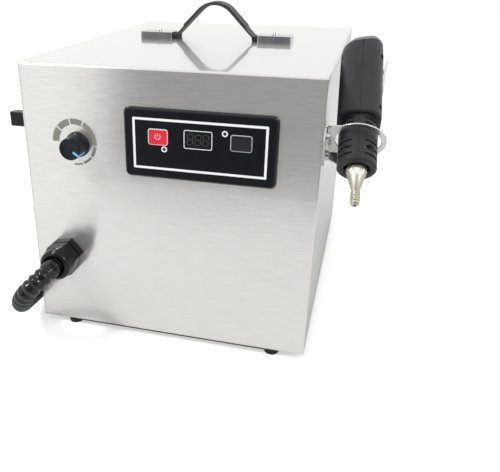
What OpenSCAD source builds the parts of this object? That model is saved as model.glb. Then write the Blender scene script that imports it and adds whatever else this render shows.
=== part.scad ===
// Bench steam cleaner for jewelry: a stainless steel cabinet with a boiler inside, and a steam gun
// on a ribbed hose that hangs in a ring on the right side.
// Millimetres. X runs to the right, Y from the front to the back, Z up from the table.

/* [Cabinet] */
// Width of the cabinet
body_w = 300; // [280:1:380]
// Depth of the cabinet
body_d = 400; // [333:1:480]
// Height of the cabinet, without its feet
body_h = 288; // [240:1:350]
// Thickness of the sheet steel
sheet_t = 1.2; // [0.8:0.1:1.6]
// Outer radius of the bends in the sheet
bend_r = 3; // [2.4:0.1:5]
// Width of the side panels' return flanges
flange_w = 12; // [10:1:14]
// Depth of the bottom flanges at the front and the rear
foot_flange = 20; // [18:1:24]
// Gap at the seams between two sheets
seam = 0.2; // [0.1:0.05:0.4]

/* [Feet] */
// Height of a foot
foot_h = 7; // [5:0.5:12]
// Diameter of a foot
foot_d = 16.5; // [15:0.5:18]
// Distance from a side to the foot's centre
foot_side = 35; // [30:1:60]
// Distance from the front or the rear to the foot's centre
foot_edge = 10; // [9:0.5:11]

/* [Screws] */
// Diameter of the small screws
screw_d = 4; // [3:0.5:4.5]
// Clearance around a screw, on the radius
screw_gap = 0.15; // [0.1:0.05:0.3]
// Diameter of the holder's bolts
bolt_d = 6; // [5:0.5:7]

/* [Strap handle] */
// Middle of the strap, measured from the cabinet's middle
strap_x = -5.5; // [-10:0.5:10]
// Middle of the strap, measured from the cabinet's front
strap_y = 224; // [180:1:240]
// Width of the strap
strap_w = 22; // [18:1:28]
// Thickness of the strap
strap_t = 2.2; // [2:0.1:3.5]
// Height of the arch under the strap
strap_rise = 39; // [32:1:50]
// Slope of the arch's flanks, in degrees
strap_slope = 45; // [40:1:55]
// Thickness of the grip layer on the strap
grip_t = 1.6; // [1.5:0.1:3]
// Distance along the flank from the strap's foot to the grip layer
grip_back = 14; // [8:1:18]
// Length of a strap cap
cap_l = 41; // [36:1:46]
// Width of a strap cap
cap_w = 26; // [24:1:32]
// Height of a strap cap
cap_h = 7; // [6:0.5:9]

/* [Control panel] */
// Width of the bezel
bezel_w = 151; // [148:1:160]
// Height of the bezel
bezel_h = 69.5; // [64:0.5:76]
// How far the bezel stands out of the front
bezel_t = 3.2; // [2.6:0.1:5]
// Distance from the cabinet's right side to the bezel
bezel_right = 39.5; // [30:0.5:42]
// Distance from the cabinet's top to the bezel
bezel_top = 36; // [28:1:50]
// Corner radius of the bezel
bezel_r = 6; // [4:0.5:10]
// Width of the bezel's sloped rim
rim_w = 3; // [2:0.5:4]
// Distance from the bezel's edge to the printed frame
line_in = 9.5; // [8:0.5:11]
// Width of the printed frame's line
line_w = 2.3; // [1:0.1:3]
// Width of the display window
window_w = 26; // [22:0.5:30]
// Height of the display window
window_h = 16.2; // [13:0.2:18]
// Width of the power button
power_w = 18.1; // [14:0.1:20]
// Width of the steam button
steam_w = 18.9; // [14:0.1:20]
// Height of both buttons
button_h = 14; // [12:0.1:16]
// Gap around a button
button_gap = 0.25; // [0.15:0.05:0.5]
// Travel of a button
button_travel = 1; // [0.5:0.1:1.5]

/* [Knob] */
// Distance from the cabinet's left side to the knob's axis
knob_left = 58.5; // [50:0.5:62]
// Distance from the cabinet's top to the knob's axis
knob_top = 78.5; // [60:0.5:90]
// Diameter of the knob
knob_d = 22.4; // [18:0.2:24]
// Diameter of the skirt at the knob's foot
knob_skirt_d = 26; // [24:0.5:30]
// Length of the knob
knob_l = 19; // [12:0.5:20]
// Diameter of the potentiometer's shaft
shaft_d = 6; // [5:0.5:6]
// Clearance between the shaft and its bushing, on the radius
shaft_gap = 0.05; // [0.03:0.01:0.1]
// Outer diameter of the printed scale
scale_d = 48; // [40:1:52]

/* [Gland and hose] */
// Distance from the cabinet's left side to the gland's axis
gland_left = 37; // [34:1:50]
// Height of the gland's axis above the cabinet's bottom
gland_up = 85; // [70:1:100]
// Size of the gland's hexagon across its corners
gland_hex = 39; // [37:0.5:41]
// Diameter of the gland's thread
gland_thread = 25; // [23:0.5:26]
// How far the gland stands out of the front
gland_out = 35; // [33:0.5:40]
// Outer diameter of the hose, over its ribs
hose_d = 20; // [18:0.5:20.5]
// Diameter of the hose between two ribs
hose_root_d = 16.6; // [15:0.2:17]
// Bore of the hose
hose_bore = 12; // [8:0.5:13]
// Pitch of the ribs
rib_pitch = 8; // [7:0.1:9]

/* [Holder ring] */
// Inner diameter of the ring
ring_d = 41; // [39:0.5:46]
// Width of the ring's band
ring_band = 5; // [4:0.5:8]
// Thickness of the bracket
ring_t = 1.5; // [1.2:0.1:3]
// Width of the bracket's arm
arm_w = 40; // [36:1:44]
// Width of the bracket's flange on the side panel
arm_flange = 17; // [16:0.5:22]
// Distance between the bracket's bolts
bolt_pitch = 27; // [22:0.5:28]
// Distance from the side panel to the gun's axis at the ring
gun_out = 29.5; // [29:0.5:36]
// Distance from the front to the gun's axis at the ring
gun_back = 22; // [18:1:40]
// Distance from the cabinet's top down to the ring's centre
gun_down = 58.9; // [50:0.1:80]
// How far the gun leans back from upright, in degrees
gun_lean = 52; // [50:1:56]
// How far the gun's tail leans towards the cabinet, in degrees
gun_toe = 3.5; // [2:0.5:4]

/* [Gun] */
// Diameter of the gun's nose
nose_d = 35.2; // [33:0.2:36]
// Length of the nose below the ring
nose_l = 32.5; // [30:0.5:40]
// Diameter of the neck
neck_d = 32.4; // [30:0.2:33]
// Width and depth of the gun's body
gun_w = 40; // [38:0.5:42]
// Corner radius of the gun's body
gun_r = 14; // [10:0.5:15]
// Start of the body, measured from the ring
gun_start = 19; // [17:0.5:22]
// End of the body, measured from the ring
gun_end = 107; // [104:1:120]
// Length of the end cap
end_l = 13; // [8:0.5:16]
// Wall of the gun's shells
gun_wall = 2.5; // [2:0.1:3]
// Diameter of the nose's mouth
mouth_d = 22; // [20:0.5:24]
// Length of the steam lever
lever_l = 35; // [30:1:38]
// Width of the steam lever
lever_w = 14; // [10:0.5:16]
// Thickness of the steam lever
lever_t = 2.4; // [2:0.1:3]
// Angle at which the lever stands off, in degrees
lever_rise = 6; // [5:0.5:7]
// Diameter of the lever's pin
pin_d = 2; // [1.6:0.1:2.4]
// Diameter of the nozzle's collar
collar_d = 18.6; // [16:0.2:19]
// Distance from the ring to the nozzle's tip
nozzle_reach = 69; // [62:0.5:72]
// Length of the threaded tip
tip_l = 14.5; // [10:0.5:18]
// Diameter of the threaded tip
tip_d = 8.4; // [7:0.1:9]
// Diameter of the steam jet's bore
jet_d = 2.5; // [1.5:0.1:3.5]

/* [Boiler] */
// Diameter of the boiler's tank
tank_d = 150; // [130:1:155]
// Wall of the tank
tank_t = 1.5; // [1.2:0.1:3]
// Diameter of the water pipe and the filler neck
neck_pipe_d = 30; // [24:1:34]
// Diameter of the steam pipe
pipe_d = 10; // [8:0.5:11]

/* [Hidden] */

$fn = 64;
// A small overlap that lets two shapes of one solid grow together
grow = 0.05;

// Cabinet: its edges in the drawing
half_w = body_w / 2;
floor_z = foot_h;
top_z = foot_h + body_h;
panel_w = body_w - 2 * sheet_t - 2 * seam;
inner_r = bend_r - sheet_t;
base_z = floor_z + 2 * sheet_t;
rear_in = body_d - 2 * sheet_t;

// Screws and nuts
screw_hole_r = screw_d / 2 + screw_gap;
screw_head_r = screw_d;
rear_screw_side = flange_w / 2 + sheet_t / 2;
rear_screw_rows = [0.12, 0.5, 0.86];
panel_screw_l = 8;

// Strap handle
arch_top_r = 26;
arch_foot_r = 8;
arch_flank = (strap_rise - (arch_top_r + arch_foot_r) * (1 - cos(strap_slope))) / sin(strap_slope);
arch_half = (arch_top_r + arch_foot_r) * sin(strap_slope) + arch_flank * cos(strap_slope);
strap_pitch = 2 * arch_half + cap_l;
strap_seat = 0.6;
strap_tail = 14;

// Control panel
bezel_x = half_w - bezel_right - bezel_w / 2;
bezel_z = top_z - bezel_top - bezel_h / 2;
controls_up = 7.25;
power_x = -40.5;
display_x = -0.75;
steam_x = 41;
led_places = [[-34.3, -4.4], [25.2, 15.4]];
led_r = 1.5;
led_ring_r = 2.6;
overlay_sink = 0.4;
overlay_t = 0.4;
print_t = 0.1;
outline_w = 0.7;
overlay_y = bezel_t - overlay_sink;
cutout_edge = 6;
board_y = 13;
board_t = 1.6;
button_proud = 0.6;

// Knob
knob_x = -half_w + knob_left;
knob_z = top_z - knob_top;
bushing_r = 3.5;
knob_gap = 1.2;
pot_nut_h = 2.2;
skirt_h = 3;
scale_left = 3.5;
scale_up = 2;
scale_count = 8;
scale_start = 183;
scale_first = 42;
scale_last = 28;
scale_gap = 2;
scale_wide = 7.4;
scale_thin = 1.8;
pointer_turn = -33;
pointer_l = 7;
pointer_w = 1.7;
pointer_sink = 0.6;

// Gland
gland_x = -half_w + gland_left;
gland_z = floor_z + gland_up;
gland_turn = -11.5;
collar_h = 9;
nut_start = 11;
seal_depth = 7;
sleeve_r = 13.4;
mouth_r = hose_d / 2 + 1;
seal_t = 4;

// Hose: points chosen by hand along its middle, from the gland round the cabinet to the gun
run_route = [
    [-113, -28, 92], [-113, -38, 92], [-113, -48, 92], [-116, -57, 89], [-123, -63, 82],
    [-132, -64, 72], [-141, -58, 60], [-149, -47, 49], [-156, -32, 40], [-162, -14, 33],
    [-167, 7, 27], [-171, 30, 22], [-174, 55, 17], [-176, 85, 13], [-177, 120, 11],
    [-177, 165, 10], [-177, 220, 10], [-177, 280, 10], [-175, 345, 10], [-168, 395, 10],
    [-148, 440, 10], [-120, 458, 10.2], [-100, 460, 10.4], [-80, 462, 10.4]
];
riser_route = [
    [-80, 462, 10.4], [-60, 464, 10.4], [-20, 465, 15], [20, 463, 27], [60, 460, 44],
    [100, 455, 63], [135, 441, 83], [158, 412, 103], [169, 370, 123], [172, 325, 144],
    [173, 280, 167], [173, 237, 192], [173, 200, 217], [173, 170, 236], [173, 146, 251],
    [173, 131, 264]
];
route_steps = 8;
bore_every = 8;

// Gun and its ring
gun_x = half_w + gun_out;
gun_z = top_z - gun_down;
ring_r = ring_d / 2;
bolt_down = arm_flange / 2;
nut_d = 10.4;
nut_h = 5;
nose_top = 6;
rest_gap = 2;
rim_h = 2.5;
// the end cap's slanted seam, and how far the shells draw in and lean before it
cap_tilt = -10;
taper_start = 95.3;
taper_in = 1.6;
taper_lean = 1;
taper_over = 6;
// the dome's sections: share of its length, and how far each has drawn in
dome_steps = [[0.1, 0], [0.4, 1.6], [0.65, 4.4], [0.85, 8.2], [1, 12.5]];
dome_skew = 0.5;
slot_rows = [-26, -19, -12];
neck_rows = [8.6, 13.8];
slot_w = 2.2;
slot_depth = 1.2;
slot_from = 18;
slot_sweep = 58;
// shell screws: where each stands, and the depth of its head's seat from the seam
bosses = [[-13, -17.5], [-11.5, 29], [-11.5, 90]];
boss_seats = [4.5, 6, 6];
gun_screw_d = 3;
gun_screw_head_d = 5.6;
pocket_depth = 3.2;
pin_z = 60;
lever_barrel_r = 2.2;
arm_end_r = lever_w / 2 - 0.3;
arm_from = 0.4;
pocket_floor = gun_w / 2 - pocket_depth;
pin_x = pocket_floor + lever_barrel_r + 0.15;
pocket_start = pin_z - lever_barrel_r - 0.6;
pocket_end = pin_z + lever_l + 2;
side_gap = 0.3;
spring_w = 5;
spring_r = 1.75;
collar_h_gun = 10;
cone_end_r = 3.5;
tip_pitch = 2.1;
tip_ridge = 0.7;
tube_r = 4;
tail_z = 97;
tail_y = 15;
tail_turn = 78;
tail_start = 8.5;
tail_l = 26;
tail_r = hose_d / 2 + 3.5;
socket_gap = 0.5;
socket_depth = 5;
barb_r = 5;

// Boiler
tank_x = 12;
tank_front = 95;
tank_rear = 75;
tank_under = 20;
tank_r = tank_d / 2;
tank_l = body_d - tank_front - tank_rear;
tank_z = base_z + tank_under + tank_r;
tank_y1 = tank_front + tank_l;
dish_r = 6;
bracket_t = 2;
bracket_w = 20;
valve_y = 60;
valve_l = 34;
port_y = tank_front + 45;
safety_y = tank_front + 0.55 * tank_l;
filler_z = tank_z + tank_r + 32;
filler_y = tank_y1 - 40;
drain_z = tank_z - tank_r + 22;
inlet_x = -half_w + 45;
inlet_z = floor_z + 45;
neck_out = 12;
cap_r = neck_pipe_d / 2 + 6;
cap_len = 20;
power_x1 = half_w - flange_w - 8;

// Peg on the left side, under the top edge
peg_out = 16;
peg_deep = 11;
peg_front = 2;
peg_h = 14.3;
peg_z = top_z - 58.3;

// Origin: the middle of the footprint of everything but the hose, on the table
left_x = -half_w - peg_out;
right_x = gun_x + ring_r + ring_band;
front_y = -gland_out;
rear_y = body_d + neck_out + cap_len / 2;
origin_x = (left_x + right_x) / 2;
origin_y = (front_y + rear_y) / 2;

// ---- Placing and plain shapes ----

module placed() translate([-origin_x, -origin_y, 0]) children();

// Draws in the X-Z plane of the front and extrudes towards the viewer
module facing(x, z, y = 0) translate([x, y, z]) rotate([90, 0, 0]) children();

// Extrudes a Y-Z drawing along X, centred
module across(w) rotate([90, 0, 90]) linear_extrude(w, center = true) children();

module rounded_rect(w, h, r) {
    square([w - 2 * r, h], center = true);
    square([w, h - 2 * r], center = true);
    for (x = [-1, 1], y = [-1, 1])
        translate([x * (w / 2 - r), y * (h / 2 - r)]) circle(r);
}

module rounded_ring(w, h, r, t) difference() {
    rounded_rect(w, h, r);
    rounded_rect(w - 2 * t, h - 2 * t, max(r - t, 0.2));
}

module tube(r_out, r_in, h) difference() {
    cylinder(h, r = r_out);
    translate([0, 0, -1]) cylinder(h + 2, r = r_in);
}

module hexagon(corner_d, h) cylinder(h, d = corner_d, $fn = 6);

// Pan-head screw with a cross slot: the head stands on z = 0 and the shank goes down
module cross_screw(d, l) {
    difference() {
        cylinder(0.6 * d, r1 = d, r2 = 0.8 * d);
        for (a = [0, 90])
            rotate(a) translate([0, 0, 0.6 * d]) cube([1.1 * d, 0.22 * d, 0.6 * d], center = true);
    }
    translate([0, 0, -l]) cylinder(l + grow, d = d);
}

// ---- Cabinet sheets ----

// A rectangle from (y0, z0) to (y1, z1) with round corners
module sheet_outline(y0, z0, y1, z1, r)
    translate([(y0 + y1) / 2, (z0 + z1) / 2]) rounded_rect(y1 - y0, z1 - z0, r);

module front_top_sheet() difference() {
    across(panel_w) difference() {
        sheet_outline(0, floor_z, body_d, top_z, bend_r);
        sheet_outline(sheet_t, floor_z + sheet_t, body_d - sheet_t, top_z - sheet_t, inner_r);
        translate([foot_flange, floor_z - 1]) square([body_d, body_h - flange_w + 1]);
    }
    // corners that leave room for the side panels' bottom flanges
    for (side = [-1, 1])
        translate([side * half_w, bend_r + foot_flange / 2, floor_z])
            cube([2 * (flange_w + seam), foot_flange, 4 * sheet_t], center = true);
}

module front_top_panel() color("silver") placed() difference() {
    front_top_sheet();
    // control panel
    facing(bezel_x, bezel_z, sheet_t + 1) linear_extrude(sheet_t + 2)
        rounded_rect(bezel_w - 2 * cutout_edge + 1, bezel_h - 2 * cutout_edge + 1, 3);
    // knob and gland
    facing(knob_x, knob_z, sheet_t + 1) cylinder(sheet_t + 2, r = bushing_r + 0.1);
    facing(gland_x, gland_z, sheet_t + 1) cylinder(sheet_t + 2, d = gland_thread + 0.4);
    // strap screws
    for (side = [-1, 1])
        translate([strap_x + side * strap_pitch / 2, strap_y, top_z - sheet_t - 1])
            cylinder(sheet_t + 2, r = screw_hole_r);
    foot_holes(0);
    rear_screw_holes();
}

// Right-hand side panel, from its own plate and return flanges
module side_sheet() {
    translate([half_w - sheet_t, 0, 0]) rotate([90, 0, 90]) linear_extrude(sheet_t)
        sheet_outline(0, floor_z, body_d, top_z, bend_r);
    flange_x = half_w - flange_w;
    reach = flange_w - sheet_t / 2;
    inside = bend_r + seam;
    // front, top, bottom and rear flanges
    translate([flange_x, sheet_t, floor_z + inside])
        cube([reach, sheet_t, body_h - 2 * inside]);
    translate([flange_x, inside, top_z - 2 * sheet_t])
        cube([reach, body_d - 2 * inside, sheet_t]);
    translate([flange_x, inside, floor_z])
        cube([reach, rear_in - inside - seam, sheet_t]);
    translate([flange_x, body_d - sheet_t, floor_z])
        cube([reach, sheet_t, body_h - flange_w - seam]);
}

module left_panel() color("silver") placed() difference() {
    mirror([1, 0, 0]) side_sheet();
    peg_screw_place() cylinder(4 * sheet_t, r = screw_hole_r, center = true);
    rear_screw_holes();
}

module right_panel() color("silver") placed() difference() {
    side_sheet();
    at_bolts() cylinder(4 * sheet_t, d = bolt_d + 2 * screw_gap, center = true);
    // notches in the front flange, round the nuts
    at_bolts() translate([0, 0, -sheet_t - nut_h - 1]) cylinder(nut_h + 1, d = nut_d + 1);
    rear_screw_holes();
}

module rear_panel() color("silver") placed() difference() {
    union() {
        translate([-panel_w / 2, rear_in, floor_z])
            cube([panel_w, sheet_t, body_h - bend_r - seam]);
        translate([-half_w + flange_w + seam, rear_in - foot_flange, floor_z])
            cube([body_w - 2 * (flange_w + seam), foot_flange + grow, sheet_t]);
    }
    rear_screw_holes();
    foot_holes(1);
    at_filler() cylinder(8 * sheet_t, d = neck_pipe_d + 0.6, center = true);
    at_drain() cylinder(8 * sheet_t, d = pipe_d + 4.6, center = true);
    translate([inlet_x, body_d, inlet_z]) cube([27.4, 20 * sheet_t, 20.4], center = true);
    // vent slots
    for (row = [0:5])
        translate([half_w - 75, body_d, floor_z + 50 + 12 * row]) rotate([90, 0, 0])
            linear_extrude(20 * sheet_t, center = true) rounded_rect(60, 4, 1.9);
}

module base_plate() color("silver") placed() difference() {
    translate([-panel_w / 2, bend_r + seam, floor_z + sheet_t])
        cube([panel_w, rear_in - bend_r - 2 * seam, sheet_t]);
    foot_holes(0);
    foot_holes(1);
}

// Screw places at the rear: rows up each side, and three under the top edge
module at_rear_screws() {
    for (side = [-1, 1], row = rear_screw_rows)
        translate([side * (half_w - rear_screw_side), body_d, floor_z + row * body_h])
            rotate([-90, 0, 0]) children();
    for (x = [-1:1])
        translate([x * body_w / 3, body_d, top_z - flange_w / 2 - 1])
            rotate([-90, 0, 0]) children();
}

module rear_screw_holes() at_rear_screws() cylinder(8 * sheet_t, r = screw_hole_r, center = true);

module peg_screw_place()
    translate([-half_w + sheet_t, peg_front + peg_deep / 2, peg_z]) rotate([0, 90, 0]) children();

module panel_screws() color("dimgray") placed() {
    at_rear_screws() cross_screw(screw_d, panel_screw_l);
    peg_screw_place() cross_screw(screw_d, panel_screw_l);
}

// ---- Feet ----

module at_feet(row) for (side = [-1, 1])
    translate([side * (half_w - foot_side), foot_row_y(row), 0]) children();

function foot_row_y(row) = row == 0 ? foot_edge : rear_in - foot_edge;

module foot_holes(row) at_feet(row) translate([0, 0, floor_z - 1])
    cylinder(2 * sheet_t + 2, r = screw_hole_r);

module feet() color("black") placed() for (row = [0, 1]) at_feet(row) difference() {
    cylinder(foot_h, d1 = foot_d - 1.6, d2 = foot_d);
    translate([0, 0, -1]) cylinder(foot_h + 2, r = screw_hole_r);
    translate([0, 0, -1]) cylinder(1 + foot_h / 2, r = screw_head_r + 0.4);
}

module foot_screws() color("dimgray") placed() for (row = [0, 1]) at_feet(row)
    translate([0, 0, foot_h / 2]) mirror([0, 0, 1])
        cross_screw(screw_d, foot_h / 2 + 2 * sheet_t + 3);

// ---- Strap handle ----

// The strap's right half, as points with the direction square to the strap at each: the top arc,
// then either the foot arc and the tail (whole), or the place on the flank where the grip ends.
function arch_right(whole) = concat(
    [for (a = [0:5:strap_slope]) [[arch_top_r * sin(a), strap_rise - arch_top_r * (1 - cos(a))],
                                  [sin(a), cos(a)]]],
    whole
        ? [for (a = [strap_slope:-5:0]) [[arch_half - arch_foot_r * sin(a),
                                          arch_foot_r * (1 - cos(a))], [sin(a), cos(a)]],
           [[arch_half + strap_tail, 0], [0, 1]]]
        : [[[arch_half - arch_foot_r * sin(strap_slope) - grip_back * cos(strap_slope),
             arch_foot_r * (1 - cos(strap_slope)) + grip_back * sin(strap_slope)],
            [sin(strap_slope), cos(strap_slope)]]]
);
function reversed(list) = [for (i = [len(list) - 1:-1:0]) list[i]];
function mirrored(list) = [for (v = list) [-v[0], v[1]]];
// Both halves of the line at a distance lift above the strap's underside, from left to right
function arch_line(whole, lift) = let (
    right = [for (e = arch_right(whole)) [0, strap_seat] + e[0] + lift * e[1]]
) concat(reversed(mirrored([for (i = [1:len(right) - 1]) right[i]])), right);
module arch_layer(whole, from, to)
    polygon(concat(arch_line(whole, to), reversed(arch_line(whole, from))));

module on_strap(w) translate([strap_x, strap_y, top_z]) rotate([90, 0, 0])
    linear_extrude(w, center = true) children();

module strap_band() color("dimgray") placed() on_strap(strap_w) arch_layer(true, 0, strap_t);

module strap_grip() color("black") placed() on_strap(strap_w)
    arch_layer(false, strap_t, strap_t + grip_t);

module strap_caps() color("gainsboro") placed() for (side = [-1, 1])
    translate([strap_x + side * strap_pitch / 2, strap_y, top_z]) difference() {
        linear_extrude(cap_h) rounded_rect(cap_l, cap_w, 2);
        // slot that holds the strap's tail
        translate([-side * cap_l / 2, 0, strap_seat + strap_t / 2])
            cube([2 * strap_tail + 1, strap_w + 0.6, strap_t + 0.6], center = true);
        translate([0, 0, -1]) cylinder(cap_h + 2, r = screw_hole_r);
    }

module strap_screws() color("silver") placed() for (side = [-1, 1])
    translate([strap_x + side * strap_pitch / 2, strap_y, top_z + cap_h])
        cross_screw(screw_d, cap_h + sheet_t + 5);

// ---- Control panel ----

module on_bezel(x, z, y) facing(bezel_x + x, bezel_z + z, y) children();

// The openings for the window, the buttons and the lights, drawn flat
module control_openings(gap) {
    translate([display_x, controls_up]) rounded_rect(window_w + 2 * gap, window_h + 2 * gap, 1.5);
    translate([power_x, controls_up]) rounded_rect(power_w + 2 * gap, button_h + 2 * gap, 1.5);
    translate([steam_x, controls_up]) rounded_rect(steam_w + 2 * gap, button_h + 2 * gap, 1.5);
    for (p = led_places) translate(p) circle(led_r + gap);
}

module panel_bezel() color("black") placed() difference() {
    union() {
        hull() {
            on_bezel(0, 0, 0) linear_extrude(bezel_t / 3)
                rounded_rect(bezel_w, bezel_h, bezel_r, $fn = 32);
            on_bezel(0, 0, 0) linear_extrude(bezel_t)
                rounded_rect(bezel_w - rim_w, bezel_h - rim_w, bezel_r - rim_w / 2, $fn = 32);
        }
        // skirt through the front sheet
        on_bezel(0, 0, board_y - 4) linear_extrude(board_y - 4 + grow)
            rounded_ring(bezel_w - 2 * cutout_edge, bezel_h - 2 * cutout_edge, 2.5, 2);
        // posts that carry the board
        board_posts() cylinder(board_y + grow, r = 3.4);
    }
    on_bezel(0, 0, -overlay_y + overlay_t) linear_extrude(bezel_t)
        rounded_rect(bezel_w - 2 * rim_w, bezel_h - 2 * rim_w, bezel_r - rim_w + 1);
    on_bezel(0, 0, 1) linear_extrude(bezel_t + 2) control_openings(button_gap);
    board_posts() translate([0, 0, -3]) cylinder(board_y, r = 1.2);
}

// Four posts behind the bezel, pointing to the front from the board
module board_posts() for (x = [-1, 1], z = [-1, 1])
    on_bezel(x * (bezel_w / 2 - cutout_edge - 8), z * (bezel_h / 2 - cutout_edge - 8), board_y)
        children();

module panel_overlay() color([0.05, 0.05, 0.06]) placed()
    on_bezel(0, 0, -overlay_y + overlay_t) linear_extrude(overlay_t) difference() {
        rounded_rect(bezel_w - 2 * rim_w - 0.2, bezel_h - 2 * rim_w - 0.2, bezel_r - rim_w + 1);
        control_openings(button_gap);
    }

module panel_print() color("white") placed() on_bezel(0, 0, -overlay_y) linear_extrude(print_t) {
    rounded_ring(bezel_w - 2 * line_in, bezel_h - 2 * line_in, 1, line_w);
    translate([display_x, controls_up]) rounded_ring(
        window_w + 2 * (button_gap + outline_w), window_h + 2 * (button_gap + outline_w),
        2, outline_w);
    for (p = led_places) translate(p) difference() {
        circle(led_ring_r);
        circle(led_ring_r - outline_w);
    }
}

module display_window() color([0.12, 0.12, 0.14, 0.9]) placed()
    on_bezel(display_x, controls_up, -overlay_y + 1.2) linear_extrude(1.2)
        rounded_rect(window_w, window_h, 1.3);

module display_module() color([0.1, 0.1, 0.1]) placed()
    on_bezel(display_x, controls_up, board_y) linear_extrude(board_y + overlay_y - 1.2)
        square([window_w - 1, window_h - 1], center = true);

// A button: cap through the bezel, and a wider flange behind it that keeps it in
module push_button(w) {
    linear_extrude(bezel_t + button_proud + 0.8) rounded_rect(w, button_h, 1.4);
    translate([0, 0, -1.5]) linear_extrude(1.5 + grow) rounded_rect(w + 3, button_h + 3, 1.4);
}

module power_button() color("red") placed()
    on_bezel(power_x, controls_up, 0.8) push_button(power_w);

module steam_button() color([0.2, 0.2, 0.22]) placed()
    on_bezel(steam_x, controls_up, 0.8) push_button(steam_w);

module status_leds() color([0.85, 0.85, 0.8]) placed() for (p = led_places)
    on_bezel(p[0], p[1], board_y) cylinder(board_y + overlay_y, r = led_r);

module control_board() color("darkgreen") placed() difference() {
    union() {
        on_bezel(0, 0, board_y + board_t) linear_extrude(board_t)
            rounded_rect(bezel_w - 2 * cutout_edge - 6, bezel_h - 2 * cutout_edge - 6, 2);
        // a switch behind each button, its plunger just past the button's travel
        for (x = [power_x, steam_x]) on_bezel(x, controls_up, board_y + grow) {
            linear_extrude(board_y - 6) square(12, center = true);
            cylinder(board_y - 2.4 - button_travel, r = 2);
        }
        // a chip and a plug on the back
        on_bezel(20, -12, board_y + board_t + 8) linear_extrude(8 + grow)
            square([30, 12], center = true);
        on_bezel(-30, -12, board_y + board_t + 3) linear_extrude(3 + grow)
            square([18, 14], center = true);
    }
    board_posts() translate([0, 0, -6]) cylinder(12, r = 1.4);
}

// ---- Knob ----

module at_knob(y = 0) facing(knob_x, knob_z, y) children();

module knob_outside() {
    translate([0, 0, knob_gap]) cylinder(skirt_h, d1 = knob_skirt_d, d2 = knob_d);
    translate([0, 0, knob_gap]) cylinder(knob_l - 1, d = knob_d);
    translate([0, 0, knob_gap + knob_l - 1]) cylinder(1, r1 = knob_d / 2, r2 = knob_d / 2 - 1);
}

module knob() color([0.12, 0.13, 0.14]) placed() at_knob() difference() {
    knob_outside();
    // room for the nut, and the bore with its flat
    cylinder(5.6, r = 7);
    difference() {
        cylinder(knob_gap + knob_l - 2.6, r = shaft_d / 2 + 0.02);
        translate([shaft_d / 2 - 0.48, -5, 5.6]) cube([5, 10, 20]);
    }
    pointer_shape();
}

// The pointer: a mark let into the knob, out along the cap and then back along the side
module pointer_shape() rotate(pointer_turn) {
    translate([knob_d / 2 - pointer_l, -pointer_w / 2, knob_gap + knob_l - pointer_sink])
        cube([pointer_l + 1, pointer_w, 2]);
    translate([knob_d / 2 - pointer_sink, -pointer_w / 2, knob_gap + skirt_h])
        cube([2, pointer_w, knob_l]);
}

module knob_pointer() color([0.35, 0.75, 0.95]) placed() at_knob() intersection() {
    pointer_shape();
    knob_outside();
}

// The angle at which a segment of the scale starts, each shorter than the one before
function scale_angle(i) =
    scale_start - i * scale_first + (scale_first - scale_last) * i * (i - 1) / 2 / (scale_count - 1);

// Printed scale: segments that run clockwise from nine o'clock and grow thinner
module knob_scale() color([0.45, 0.44, 0.42]) placed()
facing(knob_x - scale_left, knob_z + scale_up) linear_extrude(print_t) {
    for (i = [0:scale_count - 1]) {
        from = scale_angle(i) - scale_gap;
        to = scale_angle(i + 1) + scale_gap;
        wide = scale_wide + (scale_thin - scale_wide) * i / (scale_count - 1);
        outer = [for (k = [0:6]) let (a = from + (to - from) * k / 6)
            scale_d / 2 * [cos(a), sin(a)]];
        inner = [for (k = [6:-1:0]) let (a = from + (to - from) * k / 6)
            (scale_d / 2 - wide) * [cos(a), sin(a)]];
        polygon(concat(outer, inner));
    }
}

module potentiometer() color("silver") placed() difference() {
    union() {
        at_knob(sheet_t + 9) cylinder(9, r = 8.5);
        at_knob(sheet_t + grow) cylinder(sheet_t + 4.5, r = bushing_r);
        for (x = [-5, 0, 5])
            facing(knob_x + x, knob_z - 10, sheet_t + 6) linear_extrude(1)
                square([2, 8], center = true);
    }
    at_knob(sheet_t + 7) cylinder(30, r = shaft_d / 2 + shaft_gap);
}

module pot_shaft() color("gainsboro") placed() at_knob() difference() {
    translate([0, 0, -sheet_t - 6]) cylinder(sheet_t + 6 + knob_gap + knob_l - 3, d = shaft_d);
    translate([shaft_d / 2 - 0.5, -5, 5.6]) cube([5, 10, 20]);
}

module pot_nut() color("silver") placed() at_knob() difference() {
    hexagon(11.5, pot_nut_h);
    translate([0, 0, -1]) cylinder(5, r = bushing_r + 0.02);
}

// ---- Gland ----

module at_gland(y = 0) facing(gland_x, gland_z, y) children();

module gland_body() color("black") placed() difference() {
    union() {
        at_gland() rotate(gland_turn) hexagon(gland_hex, collar_h);
        at_gland() cylinder(nut_start + 1, r = sleeve_r + 1);
        at_gland() cylinder(gland_out - seal_depth - seal_t, r = sleeve_r);
        at_gland(14) cylinder(15, d = gland_thread);
    }
    at_gland(15) cylinder(60, r = pipe_d / 2 + 1);
}

module gland_nut() color("black") placed() at_gland() difference() {
    union() {
        translate([0, 0, nut_start]) rotate(gland_turn) hexagon(gland_hex, gland_out - nut_start - 11);
        translate([0, 0, nut_start + 1]) rotate_extrude() polygon(concat(
            [[0, 0], [gland_hex / 2 - 2.6, 0]],
            [for (a = [0:15:90]) [gland_hex / 2 - 6.6 + 4 * cos(a),
                                  gland_out - nut_start - 5 + 4 * sin(a)]],
            [[0, gland_out - nut_start - 1]]));
    }
    translate([0, 0, nut_start - 1])
        cylinder(gland_out - seal_depth - nut_start + 1, r = sleeve_r + 1.1);
    cylinder(gland_out + 2, r = mouth_r);
}

module gland_seal() color("dimgray") placed()
    at_gland(-(gland_out - seal_depth - seal_t)) tube(sleeve_r, hose_bore / 2, seal_t);

module gland_locknut() color("black") placed() at_gland(sheet_t + 5) difference() {
    hexagon(36, 5);
    translate([0, 0, -1]) cylinder(7, d = gland_thread + 0.1);
}

// ---- Hose ----

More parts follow.
